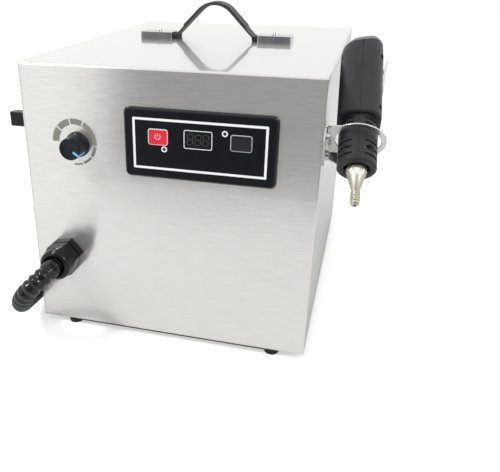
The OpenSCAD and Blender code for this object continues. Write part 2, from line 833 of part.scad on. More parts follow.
// A smooth curve through the route's points, as a fine line
function curve_at(p0, p1, p2, p3, t) = 0.5 * (2 * p1 + (p2 - p0) * t
    + (2 * p0 - 5 * p1 + 4 * p2 - p3) * t * t + (3 * p1 - p0 - 3 * p2 + p3) * t * t * t);
function smooth_line(p) = let (n = len(p) - 1) [
    for (i = [0:n - 1], k = [0:route_steps - 1])
        curve_at(i == 0 ? 2 * p[0] - p[1] : p[i - 1], p[i], p[i + 1],
                 i == n - 1 ? 2 * p[n] - p[n - 1] : p[i + 2], k / route_steps),
    p[n]
];
// Running length at every point of a line, and the point at a given length
function lengths(line, i = 0, so_far = 0) = i == len(line) - 1 ? [so_far]
    : concat([so_far], lengths(line, i + 1, so_far + norm(line[i + 1] - line[i])));
function along(line, at, s) = [
    for (axis = [0:2]) lookup(s, [for (i = [0:len(line) - 1]) [at[i], line[i][axis]]])
];
function unit(v) = v / norm(v);
// One ring of points round p, square to the direction d
function ring_at(p, d, side, r, n) = let (u = unit(cross(d, side)), v = cross(u, d)) [
    for (k = [0:n - 1]) p + r * (cos(360 * k / n) * u + sin(360 * k / n) * v)
];

// A ribbed tube with a bore, as one closed skin. Two rings make a rib: a root and a crest.
module ribbed_hose(route) {
    sides = 8;
    line = smooth_line(route);
    at = lengths(line);
    total = at[len(at) - 1];
    ribs = round(total / rib_pitch);
    rings = 2 * ribs;
    places = [for (i = [0:rings]) along(line, at, total * i / rings)];
    way = [for (i = [0:rings]) unit(
        i == 0 ? route[1] - route[0]
        : i == rings ? route[len(route) - 1] - route[len(route) - 2]
        : places[i + 1] - places[i - 1])];
    skin = [for (i = [0:rings])
        each ring_at(places[i], way[i], [0.35, 0.2, 1],
                     (i % 2 == 1 ? hose_d : hose_root_d) / 2, sides)];
    bore_ids = [for (i = [0:rings]) if (i % bore_every == 0 || i == rings) i];
    bore = [for (i = bore_ids)
        each ring_at(places[i], way[i], [0.35, 0.2, 1], hose_bore / 2, sides)];
    m = len(skin);
    last = len(bore_ids) - 1;
    outside = [for (i = [0:rings - 1], k = [0:sides - 1])
        let (a = i * sides + k, b = i * sides + (k + 1) % sides)
        each [[a, b, a + sides], [b, b + sides, a + sides]]];
    inside = [for (i = [0:last - 1], k = [0:sides - 1])
        let (a = m + i * sides + k, b = m + i * sides + (k + 1) % sides)
        each [[b, a, a + sides], [b, a + sides, b + sides]]];
    start = [for (k = [0:sides - 1]) let (b = (k + 1) % sides)
        each [[b, k, m + k], [b, m + k, m + b]]];
    e = rings * sides;
    f = m + last * sides;
    end = [for (k = [0:sides - 1]) let (b = (k + 1) % sides)
        each [[e + k, e + b, f + k], [e + b, f + b, f + k]]];
    echo(hose_length = total, ribs = ribs);
    polyhedron(points = concat(skin, bore), faces = concat(outside, inside, start, end));
}

module hose_run() color([0.1, 0.1, 0.1]) placed() ribbed_hose(run_route);
module hose_riser() color([0.1, 0.1, 0.1]) placed() ribbed_hose(riser_route);

// ---- Peg ----

module hose_peg() color([0.15, 0.15, 0.16]) placed() difference() {
    translate([-half_w - peg_out / 2, peg_front, peg_z - peg_h / 2]) linear_extrude(peg_h) {
        flat = peg_deep / 2;
        bow_r = (peg_out * peg_out / 4 + flat * flat) / (2 * flat);
        translate([-peg_out / 2, 0]) square([peg_out, flat + grow]);
        translate([0, flat]) intersection() {
            translate([0, flat - bow_r]) circle(bow_r);
            translate([-peg_out / 2, 0]) square([peg_out, flat + 1]);
        }
    }
    peg_screw_place() cylinder(2 * panel_screw_l, r = screw_d / 2 + 0.02, center = true);
}

// ---- Holder ring ----

// The ring's own frame: Z is the ring's axis, leaning back, and -Z points down to the front
module at_ring() translate([gun_x, gun_back, gun_z]) rotate([-gun_lean, 0, 0]) children();

module holder_bracket() color("gainsboro") placed() at_ring() difference() {
    union() {
        translate([0, 0, -ring_t / 2]) cylinder(ring_t, r = ring_r + ring_band);
        translate([-gun_out + ring_t, -arm_w / 2, -ring_t / 2])
            cube([gun_out - ring_t, arm_w, ring_t]);
        // bend and flange on the side panel
        translate([-gun_out + 2 * ring_t, 0, -1.5 * ring_t]) rotate([90, 0, 0])
            linear_extrude(arm_w, center = true) intersection() {
                difference() { circle(2 * ring_t); circle(ring_t); }
                translate([-2 * ring_t, 0]) square(2 * ring_t);
            }
        translate([-gun_out, -arm_w / 2, -arm_flange])
            cube([ring_t, arm_w, arm_flange - 1.5 * ring_t]);
    }
    translate([0, 0, -ring_t]) cylinder(2 * ring_t, r = ring_r);
    ring_bolts() cylinder(20, d = bolt_d + 2 * screw_gap, center = true);
}

// Bolt places in the ring's frame, pointing away from the side panel
module ring_bolts() for (side = [-1, 1])
    translate([-gun_out, side * bolt_pitch / 2, -bolt_down - ring_t / 2]) rotate([0, 90, 0])
        children();

module at_bolts() at_ring() ring_bolts() children();

module holder_bolts() color("silver") placed() at_bolts() translate([0, 0, ring_t]) difference() {
    union() {
        cylinder(3.4, r1 = 5, r2 = 4.2);
        translate([0, 0, -ring_t - sheet_t - 8]) cylinder(ring_t + sheet_t + 8 + grow, d = bolt_d);
    }
    translate([0, 0, 1.4]) hexagon(4.6, 4);
}

module holder_nuts() color("silver") placed() at_bolts() difference() {
    translate([0, 0, -sheet_t - nut_h]) rotate(gun_lean - 60) hexagon(nut_d, nut_h);
    translate([0, 0, -sheet_t - nut_h - 1]) cylinder(nut_h + 2, d = bolt_d + 0.04);
}

// ---- Gun ----

// The gun's own frame: Z runs from the nozzle to the tail, and Y points to its underside
module at_gun() at_ring() rotate([0, -gun_toe, 0]) children();

module gun_outline(inset) rounded_rect(gun_w - 2 * inset, gun_w - 2 * inset, gun_r - inset);

// The narrowed outline under the end cap
module tail_outline(inset) translate([taper_lean, 0]) rounded_rect(gun_w - 2 * (taper_in + inset),
    gun_w - 2 * (taper_in + inset), gun_r - inset, $fn = 32);

module at_cap() translate([0, 0, gun_end]) rotate([0, cap_tilt, 0]) children();

module gun_tail(start = 0) translate([0, tail_y, tail_z]) rotate([-tail_turn, 0, 0])
    translate([0, 0, start]) children();

module gun_hollow() {
    inner_neck = neck_d / 2 - gun_wall;
    translate([0, 0, -nose_l + gun_wall]) cylinder(nose_l + gun_start, r = inner_neck);
    translate([0, 0, gun_start + gun_wall])
        linear_extrude(taper_start - gun_start - gun_wall) gun_outline(gun_wall);
    translate([0, 0, taper_start - grow]) linear_extrude(gun_end) tail_outline(gun_wall);
    at_cap() translate([-gun_w, -gun_w, 0]) cube(2 * gun_w);
    translate([0, 0, -nose_l - 1]) cylinder(nose_l, d = mouth_d);
    translate([0, 0, -nose_l - grow]) cylinder(1.6, d1 = mouth_d + 3, d2 = mouth_d);
}

// Curved grip slots on each side of the seam, in rows round a diameter
module grip_slots(rows, d) for (z = rows, turn = [slot_from, -slot_from - slot_sweep])
    rotate(turn - 90) translate([0, 0, z]) rotate_extrude(angle = slot_sweep)
        translate([d / 2 - slot_depth, 0]) square([slot_depth + 2, slot_w]);

// The lever's pocket on the right, with the block round it
module lever_pocket(wall) {
    translate([pocket_floor - wall, -lever_w / 2 - side_gap - wall, pocket_start - wall])
        cube([pocket_depth + 1 + wall, lever_w + 2 * (side_gap + wall),
              pocket_end - pocket_start + 2 * wall]);
}

module gun_solid() difference() {
    union() {
        difference() {
            union() {
                rotate_extrude() polygon([
                    [0, -nose_l], [nose_d / 2 - 1.6, -nose_l], [nose_d / 2, -nose_l + 1.6],
                    [nose_d / 2, nose_top], [neck_d / 2, nose_top + 0.6],
                    [neck_d / 2, gun_start + 1], [0, gun_start + 1]]);
                hull() {
                    translate([0, 0, gun_start]) linear_extrude(1) rounded_rect(
                        gun_w - 2.4, gun_w - 2.4, gun_r - 1.2, $fn = 32);
                    translate([0, 0, gun_start + rim_h - 1]) linear_extrude(1) rounded_rect(
                        gun_w, gun_w, gun_r, $fn = 32);
                }
                translate([0, 0, gun_start + rim_h - grow])
                    linear_extrude(taper_start - gun_start - rim_h + grow) gun_outline(0);
                hull() {
                    translate([0, 0, taper_start - grow]) linear_extrude(1) rounded_rect(
                        gun_w, gun_w, gun_r, $fn = 32);
                    translate([0, 0, gun_end + taper_over - 1]) linear_extrude(1) tail_outline(0);
                }
                // heel that rests on the ring
                translate([-14, nose_d / 2 - 5, rest_gap]) cube([28, 24 - nose_d / 2 + 5, gun_start - 1]);
            }
            gun_hollow();
            grip_slots(slot_rows, nose_d);
            grip_slots(neck_rows, neck_d);
        }
        intersection() {
            lever_pocket(gun_wall);
            translate([0, 0, gun_start]) linear_extrude(gun_end) gun_outline(1.5);
        }
        // bosses for the shell screws
        intersection() {
            for (b = bosses) translate([0, b[0], b[1]]) rotate([0, 90, 0])
                cylinder(gun_w, r = gun_screw_head_d / 2 + 1.2, center = true);
            union() {
                translate([0, 0, gun_wall - nose_l]) cylinder(nose_l, d = nose_d - 2);
                translate([0, 0, gun_start + 1]) linear_extrude(gun_end) gun_outline(1);
            }
        }
    }
    lever_pocket(0);
    // pin and nub holes of the lever
    translate([pin_x, 0, pin_z]) rotate([90, 0, 0])
        cylinder(lever_w + 2 * gun_wall, d = pin_d + 0.04, center = true);
    translate([pocket_floor - 5, -3, pin_z + 20]) cube([8, 6, 6]);
    // the hose's barb
    gun_tail() cylinder(20, r = barb_r + 0.1);
    for (i = [0:len(bosses) - 1]) translate([0, bosses[i][0], bosses[i][1]]) rotate([0, 90, 0]) {
        cylinder(gun_w, d = gun_screw_d + 0.1, center = true);
        translate([0, 0, boss_seats[i]]) cylinder(gun_w, d = gun_screw_head_d + 0.6);
    }
}

module gun_half(side) intersection() {
    gun_solid();
    translate([side > 0 ? 0 : -gun_w, -gun_w, -nose_l - 1]) cube([gun_w, 2 * gun_w, 2 * gun_end]);
}

module gun_shell_left() color([0.22, 0.22, 0.24]) placed() at_gun() gun_half(-1);
module gun_shell_right() color([0.22, 0.22, 0.24]) placed() at_gun() gun_half(1);

// The end cap: a dome that closes in more on the cabinet's side
module gun_end_cap() color([0.4, 0.4, 0.42]) placed() at_gun() at_cap() {
    hull() for (step = dome_steps)
        translate([step[1] * dome_skew, 0, 0]) linear_extrude(step[0] * end_l) tail_outline(step[1]);
    lip_w = gun_w - 2 * (taper_in + gun_wall);
    translate([taper_lean, 0, -3]) linear_extrude(3 + grow)
        rounded_ring(lip_w - 1, lip_w - 0.2, gun_r - gun_wall, 1.5);
}

module gun_screws() color("dimgray") placed() at_gun() for (i = [0:len(bosses) - 1])
    translate([boss_seats[i], bosses[i][0], bosses[i][1]]) rotate([0, 90, 0])
        cross_screw(gun_screw_d * 0.93, 2 * boss_seats[i]);

// The lever's own frame: the pin along Y at its origin, and the arm along Z
module at_lever() at_gun() translate([pin_x, 0, pin_z]) children();

module steam_lever() color("lightgray") placed() at_lever() difference() {
    union() {
        rotate([90, 0, 0]) cylinder(lever_w, r = lever_barrel_r, center = true);
        rotate([0, lever_rise, 0]) {
            translate([-0.2, 0, 0]) rotate([0, 90, 0]) linear_extrude(lever_t) {
                translate([-(lever_l - arm_end_r), 0]) circle(arm_end_r);
                translate([-(lever_l - arm_end_r), -arm_end_r])
                    square([lever_l - arm_end_r - arm_from, 2 * arm_end_r]);
            }
            // nub that works the valve
            translate([-3.4, -2, 21]) cube([3.4, 4, 3.6]);
        }
    }
    rotate([90, 0, 0]) cylinder(lever_w + 2, r = pin_d / 2 + shaft_gap, center = true);
    // room for the spring in the middle of the barrel
    translate([-5, -spring_w / 2 - side_gap, -5])
        cube([10, spring_w + 2 * side_gap, 5 + spring_r + 0.15]);
}

module lever_pin() color("silver") placed() at_lever() rotate([90, 0, 0])
    cylinder(lever_w + 2 * gun_wall, d = pin_d, center = true);

module lever_spring() color("silver") placed() at_lever() rotate([90, 0, 0])
    translate([0, 0, -spring_w / 2]) tube(spring_r, pin_d / 2 + 0.1, spring_w);

module gun_valve() color("goldenrod") placed() at_gun() difference() {
    union() {
        translate([0, 0, 62]) cylinder(30, r = 7);
        translate([3, 0, 83]) rotate([0, 90, 0]) cylinder(7.5, r = 4);
        translate([10, 0, 83]) rotate([0, 90, 0]) cylinder(1.2, r = 1.5);
        gun_tail(-10) cylinder(10 + grow, r = 4.2);
    }
    translate([0, 0, 61]) cylinder(12, r = tube_r);
}

module steam_tube() color("peru") placed() at_gun()
    translate([0, 0, -nose_l + 4]) tube(tube_r - 0.02, 2.5, nose_l - 4 + 70);

module nozzle_collar() color([0.82, 0.78, 0.66]) placed() at_gun() difference() {
    translate([0, 0, -nose_l - 2.6]) cylinder(collar_h_gun, d = collar_d);
    // knurl: grooves round the rim
    for (a = [0:12:359]) rotate(a) translate([collar_d / 2, 0, -nose_l - 3])
        rotate(45) cube([0.8, 0.8, 2 * collar_h_gun + 2], center = true);
    translate([0, 0, -nose_l - 4]) cylinder(7.5 + grow, r = 6);
    translate([0, 0, -nose_l - 4]) cylinder(20, r = tube_r);
}

module nozzle() color([0.85, 0.8, 0.68]) placed() at_gun() difference() {
    cone_top = -nose_l - 2.6;
    cone_end = -nozzle_reach + tip_l;
    ridges = floor((tip_l - 3) / tip_pitch);
    union() {
        rotate_extrude() polygon(concat(
            [[0, cone_top + 5.9], [5.9, cone_top + 5.9], [5.9, cone_top],
             [collar_d / 2 - 0.2, cone_top], [collar_d / 2 - 0.6, cone_top - 2],
             [cone_end_r, cone_end]],
            [for (i = [0:ridges - 1]) let (z = cone_end - tip_pitch * i)
                each [[tip_d / 2 - tip_ridge, z], [tip_d / 2, z - tip_pitch / 2]]],
            [[tip_d / 2 - 0.5, -nozzle_reach + 2.6], [tip_d / 2 - 0.5, -nozzle_reach + 1.6],
             [tip_d / 2 - 1.8, -nozzle_reach], [0, -nozzle_reach]]));
    }
    translate([0, 0, -nozzle_reach - 1]) cylinder(nozzle_reach, d = jet_d);
    translate([0, 0, cone_top - 8]) cylinder(20, r = 2.5);
}

module hose_collar() color([0.12, 0.12, 0.12]) placed() at_gun() gun_tail() difference() {
    union() {
        translate([0, 0, tail_start]) cylinder(tail_l - 2, r = tail_r);
        translate([0, 0, tail_start + tail_l - 2])
            cylinder(2, r1 = tail_r, r2 = tail_r - 1.2);
        translate([0, 0, 0.1]) cylinder(tail_start, r = barb_r);
    }
    translate([0, 0, tail_start + tail_l - socket_depth])
        cylinder(socket_depth + 1, r = hose_d / 2 + socket_gap);
    translate([0, 0, -1]) cylinder(tail_l + tail_start, r = 3);
}

// ---- Boiler and what is inside ----

module at_filler() translate([tank_x, body_d, filler_z]) rotate([-90, 0, 0]) children();
module at_drain() translate([tank_x, body_d, drain_z]) rotate([-90, 0, 0]) children();

module tank_shape(inset) translate([tank_x, tank_front + inset, tank_z]) rotate([-90, 0, 0])
    rotate_extrude() polygon([
        [0, 0], [tank_r - dish_r - inset, 0], [tank_r - inset, dish_r],
        [tank_r - inset, tank_l - 2 * inset - dish_r],
        [tank_r - dish_r - inset, tank_l - 2 * inset], [0, tank_l - 2 * inset]]);

module boiler_tank() color("silver") placed() difference() {
    tank_shape(0);
    tank_shape(tank_t);
    // ports: filler, steam, safety valve, heater and drain
    translate([tank_x, filler_y, tank_z]) cylinder(tank_r + 5, d = neck_pipe_d - 4);
    translate([tank_x, port_y, tank_z]) cylinder(tank_r + 5, r = pipe_d / 2 + 0.1);
    translate([tank_x, safety_y, tank_z]) cylinder(tank_r + 5, r = 8);
    translate([tank_x, tank_front - 1, tank_z - 25]) rotate([-90, 0, 0]) cylinder(20, r = 16.2);
    translate([tank_x, tank_y1 - 20, drain_z]) rotate([-90, 0, 0])
        cylinder(30, r = pipe_d / 2 + 0.1);
}

module tank_brackets() color("gray") placed() for (share = [0.2, 0.8])
    translate([tank_x, tank_front + share * tank_l, base_z]) difference() {
        rotate([90, 0, 0]) linear_extrude(bracket_w, center = true) difference() {
            translate([-tank_r * 0.7, 0]) square([tank_r * 1.4, tank_under + 0.35 * tank_r]);
            translate([0, tank_z - base_z]) circle(tank_r);
            // open under the saddle, on two legs
            translate([-tank_r * 0.7 + 12, bracket_t])
                square([tank_r * 1.4 - 24, tank_under - 2 * bracket_t]);
        }
    }

module boiler_heater() color("darkgray") placed()
    translate([tank_x, tank_front, tank_z - 25]) rotate([90, 0, 0]) {
        hexagon(48, 8);
        translate([0, 0, -10]) cylinder(10 + grow, r = 16);
        for (y = [-8, 8]) translate([0, y, -0.6 * tank_l]) cylinder(0.6 * tank_l, r = 4);
        translate([-2, -12, -0.6 * tank_l]) cube([4, 24, 4]);
        for (x = [-6, 6]) translate([x, 0, 0]) cylinder(18, r = 2.5);
    }

module safety_valve() color("goldenrod") placed() translate([tank_x, safety_y, tank_z + tank_r]) {
    translate([0, 0, -4]) cylinder(5, r = 7.9);
    translate([0, 0, 0.3]) hexagon(22, 8);
    translate([0, 0, 8]) cylinder(14, r = 8);
    translate([0, 0, 22 - grow]) cylinder(8, r = 3);
    translate([0, 0, 30 - grow]) tube(8, 5, 2);
    translate([0, 0, 30]) cube([12, 3, 2], center = true);
}

module solenoid_valve() color([0.2, 0.2, 0.25]) placed() difference() {
    union() {
        translate([gland_x, valve_y, gland_z]) rotate([-90, 0, 0]) hexagon(24, valve_l);
        translate([gland_x - 14, valve_y + 2, gland_z + 6]) cube([28, valve_l - 4, 34]);
        translate([gland_x, valve_y + valve_l / 2, gland_z + 39]) cylinder(8, r = 6);
    }
    translate([gland_x, valve_y - 1, gland_z]) rotate([-90, 0, 0])
        cylinder(valve_l + 2, r = pipe_d / 2 + 0.05);
}

// A pipe through a list of points: straight runs with a ball at each corner
module pipe(points, r) for (i = [0:len(points) - 2]) {
    run = points[i + 1] - points[i];
    l = norm(run);
    translate(points[i]) rotate([0, acos(run[2] / l), atan2(run[1], run[0])]) cylinder(l, r = r);
    if (i > 0) translate(points[i]) sphere(r);
}

module steam_pipe() color("peru") placed() {
    r = pipe_d / 2;
    at_gland(valve_y + 10) difference() {
        cylinder(valve_y + 10 + gland_out - seal_depth - seal_t, r = r);
        translate([0, 0, -1]) cylinder(300, r = r - 1.5);
    }
    top = tank_z + tank_r + 14;
    pipe([
        [gland_x, valve_y + valve_l - 8, gland_z], [gland_x, port_y, gland_z],
        [gland_x, port_y, top], [tank_x, port_y, top], [tank_x, port_y, top - 20]
    ], r);
}

module power_board() color("darkgreen") placed() translate([power_x1, tank_front + 20, base_z]) {
    translate([0, 0, 20]) cube([1.6, 110, 80]);
    for (y = [10, 100]) translate([-4, y - 4, 0]) cube([8, 8, 20 + grow]);
    translate([-14, 12, 62]) cube([14 + grow, 30, 30]);
    translate([-18, 58, 58]) cube([18 + grow, 40, 34]);
}

module mains_inlet() color([0.1, 0.1, 0.1]) placed() translate([inlet_x, body_d, inlet_z])
    difference() {
        union() {
            rotate([-90, 0, 0]) linear_extrude(3) difference() {
                rounded_rect(50, 22.6, 4);
                for (x = [-20, 20]) translate([x, 0]) circle(screw_d / 2);
            }
            translate([-13.5, -24, -10]) cube([27, 24 + grow, 20]);
        }
        // socket for the plug, and its three blades left standing
        translate([0, -14, 0]) rotate([-90, 0, 0]) linear_extrude(20) difference() {
            rounded_rect(24, 16, 2);
            for (x = [-7, 0, 7]) translate([x, x == 0 ? 2 : -2]) square([2, 4], center = true);
        }
    }

module filler_neck() color("silver") placed() difference() {
    union() {
        at_filler() translate([0, 0, -(body_d - filler_y)])
            cylinder(body_d - filler_y + neck_out, d = neck_pipe_d);
        translate([tank_x, filler_y, filler_z]) sphere(d = neck_pipe_d);
        translate([tank_x, filler_y, tank_z + tank_r - 0.6])
            cylinder(filler_z - tank_z - tank_r + 0.6, d = neck_pipe_d);
        at_filler() translate([0, 0, 0.2]) cylinder(1.4, r = neck_pipe_d / 2 + 4);
    }
    at_filler() translate([0, 0, -(body_d - filler_y)]) cylinder(100, d = neck_pipe_d - 4);
    translate([tank_x, filler_y, tank_z + tank_r - 5]) cylinder(filler_z - tank_z - tank_r + 5,
        d = neck_pipe_d - 4);
    translate([tank_x, filler_y, filler_z]) sphere(d = neck_pipe_d - 4);
    translate([tank_x, filler_y, tank_z]) rotate([90, 0, 0])
        cylinder(neck_pipe_d + 10, r = tank_r, center = true);
}

module filler_cap() color([0.12, 0.12, 0.12]) placed() at_filler()
    translate([0, 0, neck_out - cap_len / 2]) difference() {
        cylinder(cap_len, r = cap_r);
        // grip flutes round the cap
        for (a = [0:30:359]) rotate(a) translate([cap_r + 2, 0, -1]) cylinder(cap_len + 2, r = 3);
        translate([0, 0, -1]) cylinder(cap_len / 2 + 1.3, r = neck_pipe_d / 2 + 0.06);
    }

module drain_plug() color("goldenrod") placed() at_drain() {
    difference() {
        translate([0, 0, -(tank_rear + 6)]) cylinder(tank_rear + 6 + 2, d = pipe_d);
        translate([0, 0, -(tank_rear + 7)]) cylinder(tank_rear, d = pipe_d - 3);
    }
    translate([0, 0, -4]) cylinder(4.2, d = pipe_d + 4);
    hexagon(20, 9);
}

front_top_panel();
left_panel();
right_panel();
rear_panel();
base_plate();
panel_screws();
feet();
foot_screws();
strap_band();
strap_grip();
strap_caps();
strap_screws();
panel_bezel();
panel_overlay();
panel_print();
display_window();
display_module();
power_button();
steam_button();
status_leds();
control_board();
knob();
knob_pointer();
knob_scale();
potentiometer();
pot_shaft();
pot_nut();
gland_body();
gland_nut();
gland_seal();
gland_locknut();
hose_run();
hose_riser();
hose_peg();
holder_bracket();
holder_bolts();
holder_nuts();
gun_shell_left();
gun_shell_right();
gun_end_cap();
gun_screws();
steam_lever();
lever_pin();
lever_spring();
gun_valve();
steam_tube();
nozzle_collar();
nozzle();
hose_collar();
boiler_tank();
tank_brackets();
boiler_heater();
safety_valve();
solenoid_valve();
steam_pipe();
power_board();
mains_inlet();
filler_neck();
filler_cap();
drain_plug();
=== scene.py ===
"""Looks of a bench steam cleaner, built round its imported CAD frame.

Down to the stage, lengths are millimetres in the cabinet's own frame: x from the middle of its width,
y from its front face, z from the table. at() turns them into the row frame's metres.
"""

import math

import bmesh
import bpy
from mathutils import Matrix, Vector


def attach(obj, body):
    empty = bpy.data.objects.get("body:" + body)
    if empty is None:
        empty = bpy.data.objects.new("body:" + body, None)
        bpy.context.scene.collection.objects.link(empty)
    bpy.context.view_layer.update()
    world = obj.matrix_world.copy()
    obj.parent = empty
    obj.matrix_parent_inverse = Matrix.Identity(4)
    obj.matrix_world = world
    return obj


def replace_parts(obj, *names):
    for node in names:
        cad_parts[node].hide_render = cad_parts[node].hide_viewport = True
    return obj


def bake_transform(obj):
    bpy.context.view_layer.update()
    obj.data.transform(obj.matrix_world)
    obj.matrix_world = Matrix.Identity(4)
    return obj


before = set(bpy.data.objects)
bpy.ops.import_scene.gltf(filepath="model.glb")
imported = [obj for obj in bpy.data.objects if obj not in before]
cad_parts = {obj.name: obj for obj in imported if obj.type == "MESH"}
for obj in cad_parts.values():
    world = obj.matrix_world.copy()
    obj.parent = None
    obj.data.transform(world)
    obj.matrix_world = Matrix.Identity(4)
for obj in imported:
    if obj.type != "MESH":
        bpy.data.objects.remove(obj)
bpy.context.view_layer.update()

MM = 0.001
CABINET = Vector((-0.0195, -0.1935, 0))


def at(x, y, z):
    """A point of the cabinet's frame, in mm, as a point of the row frame."""
    return Vector((x, y, z)) * MM + CABINET


# ---- Camera ----

CAMERA_PLACE = (184.11, -551.25, 393.57)
YAW, PITCH, ROLL = (math.radians(a) for a in (-15.667, 24.919, 0.263))
# in pixels: the photograph's size, its focal length and the point where the optical axis meets it
FRAME_PX, FOCAL_PX, CENTRE_PX = (500, 472), 619.73, (193.36, 238.60)
SENSOR = 36


def build_camera():
    forward = Vector((math.sin(YAW) * math.cos(PITCH), math.cos(YAW) * math.cos(PITCH), -math.sin(PITCH)))
    level = Vector((math.cos(YAW), -math.sin(YAW), 0))
    right = level * math.cos(ROLL) + level.cross(forward) * math.sin(ROLL)
    up = right.cross(forward)
    camera = bpy.data.objects.new("camera", bpy.data.cameras.new("camera"))
    bpy.context.scene.collection.objects.link(camera)
    turn = Matrix((right, up, -forward)).transposed().to_4x4()
    camera.matrix_world = Matrix.Translation(at(*CAMERA_PLACE)) @ turn
    camera.data.sensor_width = SENSOR
    camera.data.lens = FOCAL_PX / FRAME_PX[0] * SENSOR
    camera.data.shift_x = (FRAME_PX[0] / 2 - CENTRE_PX[0]) / FRAME_PX[0]
    camera.data.shift_y = (CENTRE_PX[1] - FRAME_PX[1] / 2) / FRAME_PX[0]
    camera.data.clip_start, camera.data.clip_end = 0.02, 50
    bpy.context.scene.camera = camera
    bpy.context.scene.view_settings.view_transform = "Standard"


build_camera()


# ---- Shader nodes ----

# the Mix node's sockets in its colour mode
MIX_A, MIX_B, MIX_RESULT = 6, 7, 2


def new_material(name):
    m = bpy.data.materials.new(name)
    m.use_nodes = True
    return m, m.node_tree.nodes, m.node_tree.links, m.node_tree.nodes["Principled BSDF"]


def noise_node(nodes, links, stretch, scale, detail=3.0, rough=0.5):
    """A noise texture in the row frame, stretched along the axes."""
    where = nodes.new("ShaderNodeTexCoord")
    size = nodes.new("ShaderNodeMapping")
    size.inputs["Scale"].default_value = stretch
    tex = nodes.new("ShaderNodeTexNoise")
    tex.inputs["Scale"].default_value = scale
    tex.inputs["Detail"].default_value = detail
    tex.inputs["Roughness"].default_value = rough
    links.new(where.outputs["Object"], size.inputs["Vector"])
    links.new(size.outputs["Vector"], tex.inputs["Vector"])
    return tex.outputs["Fac"]


def spread(nodes, links, value, low, high, from_low=0.3, from_high=0.7):
    """Maps a value onto a range. Most of a noise texture lies between 0.3 and 0.7."""
    m = nodes.new("ShaderNodeMapRange")
    for name, v in (("From Min", from_low), ("From Max", from_high), ("To Min", low), ("To Max", high)):
        m.inputs[name].default_value = v
    links.new(value, m.inputs["Value"])
    return m.outputs["Result"]


def combined(nodes, links, operation, a, b):
    """Two values added or multiplied; b may be a plain number."""
    m = nodes.new("ShaderNodeMath")
    m.operation = operation
    links.new(a, m.inputs[0])
    if isinstance(b, float):
        m.inputs[1].default_value = b
    else:
        links.new(b, m.inputs[1])
    return m.outputs[0]


def mixed(nodes, links, value, a, b):
    """A colour between a and b, by value. Each is a colour or another node's output."""
    m = nodes.new("ShaderNodeMix")
    m.data_type = "RGBA"
    for socket, color in ((MIX_A, a), (MIX_B, b)):
        if isinstance(color, tuple):
            m.inputs[socket].default_value = (*color, 1)
        else:
            links.new(color, m.inputs[socket])
    links.new(value, m.inputs[0])
    return m.outputs[MIX_RESULT]


def bumped(nodes, links, height, strength, distance, normal=None):
    b = nodes.new("ShaderNodeBump")
    b.inputs["Strength"].default_value = strength
    b.inputs["Distance"].default_value = distance
    links.new(height, b.inputs["Height"])
    if normal:
        links.new(normal, b.inputs["Normal"])
    return b.outputs["Normal"]


def scaled(color, factor):
    return tuple(min(1.0, c * factor) for c in color)


# ---- Materials ----

# marks to the metre across the grain, and their scale along it as a share of that
SCRATCH_SCALE, SCRATCH_ALONG = 2600, 0.012
STREAK_SCALE, STREAK_ALONG = 760, 0.07
# slow changes over the sheet, over a metal part and over a moulded part
SHEEN_SCALE, METAL_TONE_SCALE, PLASTIC_TONE_SCALE = 9, 60, 35
# depths of the marks, in metres
SCRATCH_DEPTH, STREAK_DEPTH, MARK_DEPTH, GRAIN_DEPTH = 0.0001, 0.00015, 0.0002, 0.00015


def brushed(name, grain, color, rough, streak=0.06, bump=0.12):
    """Sheet steel with a grain along one axis: fine scratches, broader streaks, a slow change of sheen."""
    m, nodes, links, shader = new_material(name)
    across = tuple(SCRATCH_ALONG if axis == grain else 1.0 for axis in "xyz")
    wide = tuple(STREAK_ALONG if axis == grain else 1.0 for axis in "xyz")
    fine = noise_node(nodes, links, across, SCRATCH_SCALE, 2.0)
    streaks = noise_node(nodes, links, wide, STREAK_SCALE, 3.0, 0.6)
    slow = noise_node(nodes, links, (1, 1, 1), SHEEN_SCALE, 2.0)
    tone = mixed(nodes, links, spread(nodes, links, streaks, 0, 1), scaled(color, 1 - streak),
                 scaled(color, 1 + streak))
    links.new(tone, shader.inputs["Base Color"])
    glint = spread(nodes, links, fine, -0.05, 0.05)
    sheen = spread(nodes, links, slow, rough - 0.02, rough + 0.03)
    links.new(combined(nodes, links, "ADD", glint, sheen), shader.inputs["Roughness"])
    shader.inputs["Metallic"].default_value = 0.82
    # the scratches spread light across the grain much more than along it
    shader.inputs["Anisotropic"].default_value = 0.88
    # rolled sheet keeps a faint clear reflection over the brushed one
    shader.inputs["Coat Weight"].default_value = 1.0
    shader.inputs["Coat IOR"].default_value = 1.6
    shader.inputs["Coat Roughness"].default_value = 0.05
    across_grain = nodes.new("ShaderNodeTangent")
    across_grain.direction_type, across_grain.axis = "RADIAL", grain.upper()
    links.new(across_grain.outputs["Tangent"], shader.inputs["Tangent"])
    soft = bumped(nodes, links, streaks, bump, STREAK_DEPTH)
    links.new(bumped(nodes, links, fine, bump * 1.5, SCRATCH_DEPTH, soft), shader.inputs["Normal"])
    return m


def metal(name, color, rough, grain_scale=900.0, vary=0.06, bump=0.05, stretch=(1, 1, 1)):
    """Machined or plated metal with faint tool marks and a change of tone."""
    m, nodes, links, shader = new_material(name)
    marks = noise_node(nodes, links, stretch, grain_scale, 2.0)
    slow = noise_node(nodes, links, (1, 1, 1), METAL_TONE_SCALE, 3.0)
    tone = mixed(nodes, links, spread(nodes, links, slow, 0, 1), scaled(color, 1 - vary), color)
    links.new(tone, shader.inputs["Base Color"])
    links.new(spread(nodes, links, marks, rough * 0.75, rough * 1.3), shader.inputs["Roughness"])
    shader.inputs["Metallic"].default_value = 1.0
    links.new(bumped(nodes, links, marks, bump, MARK_DEPTH), shader.inputs["Normal"])
    return m


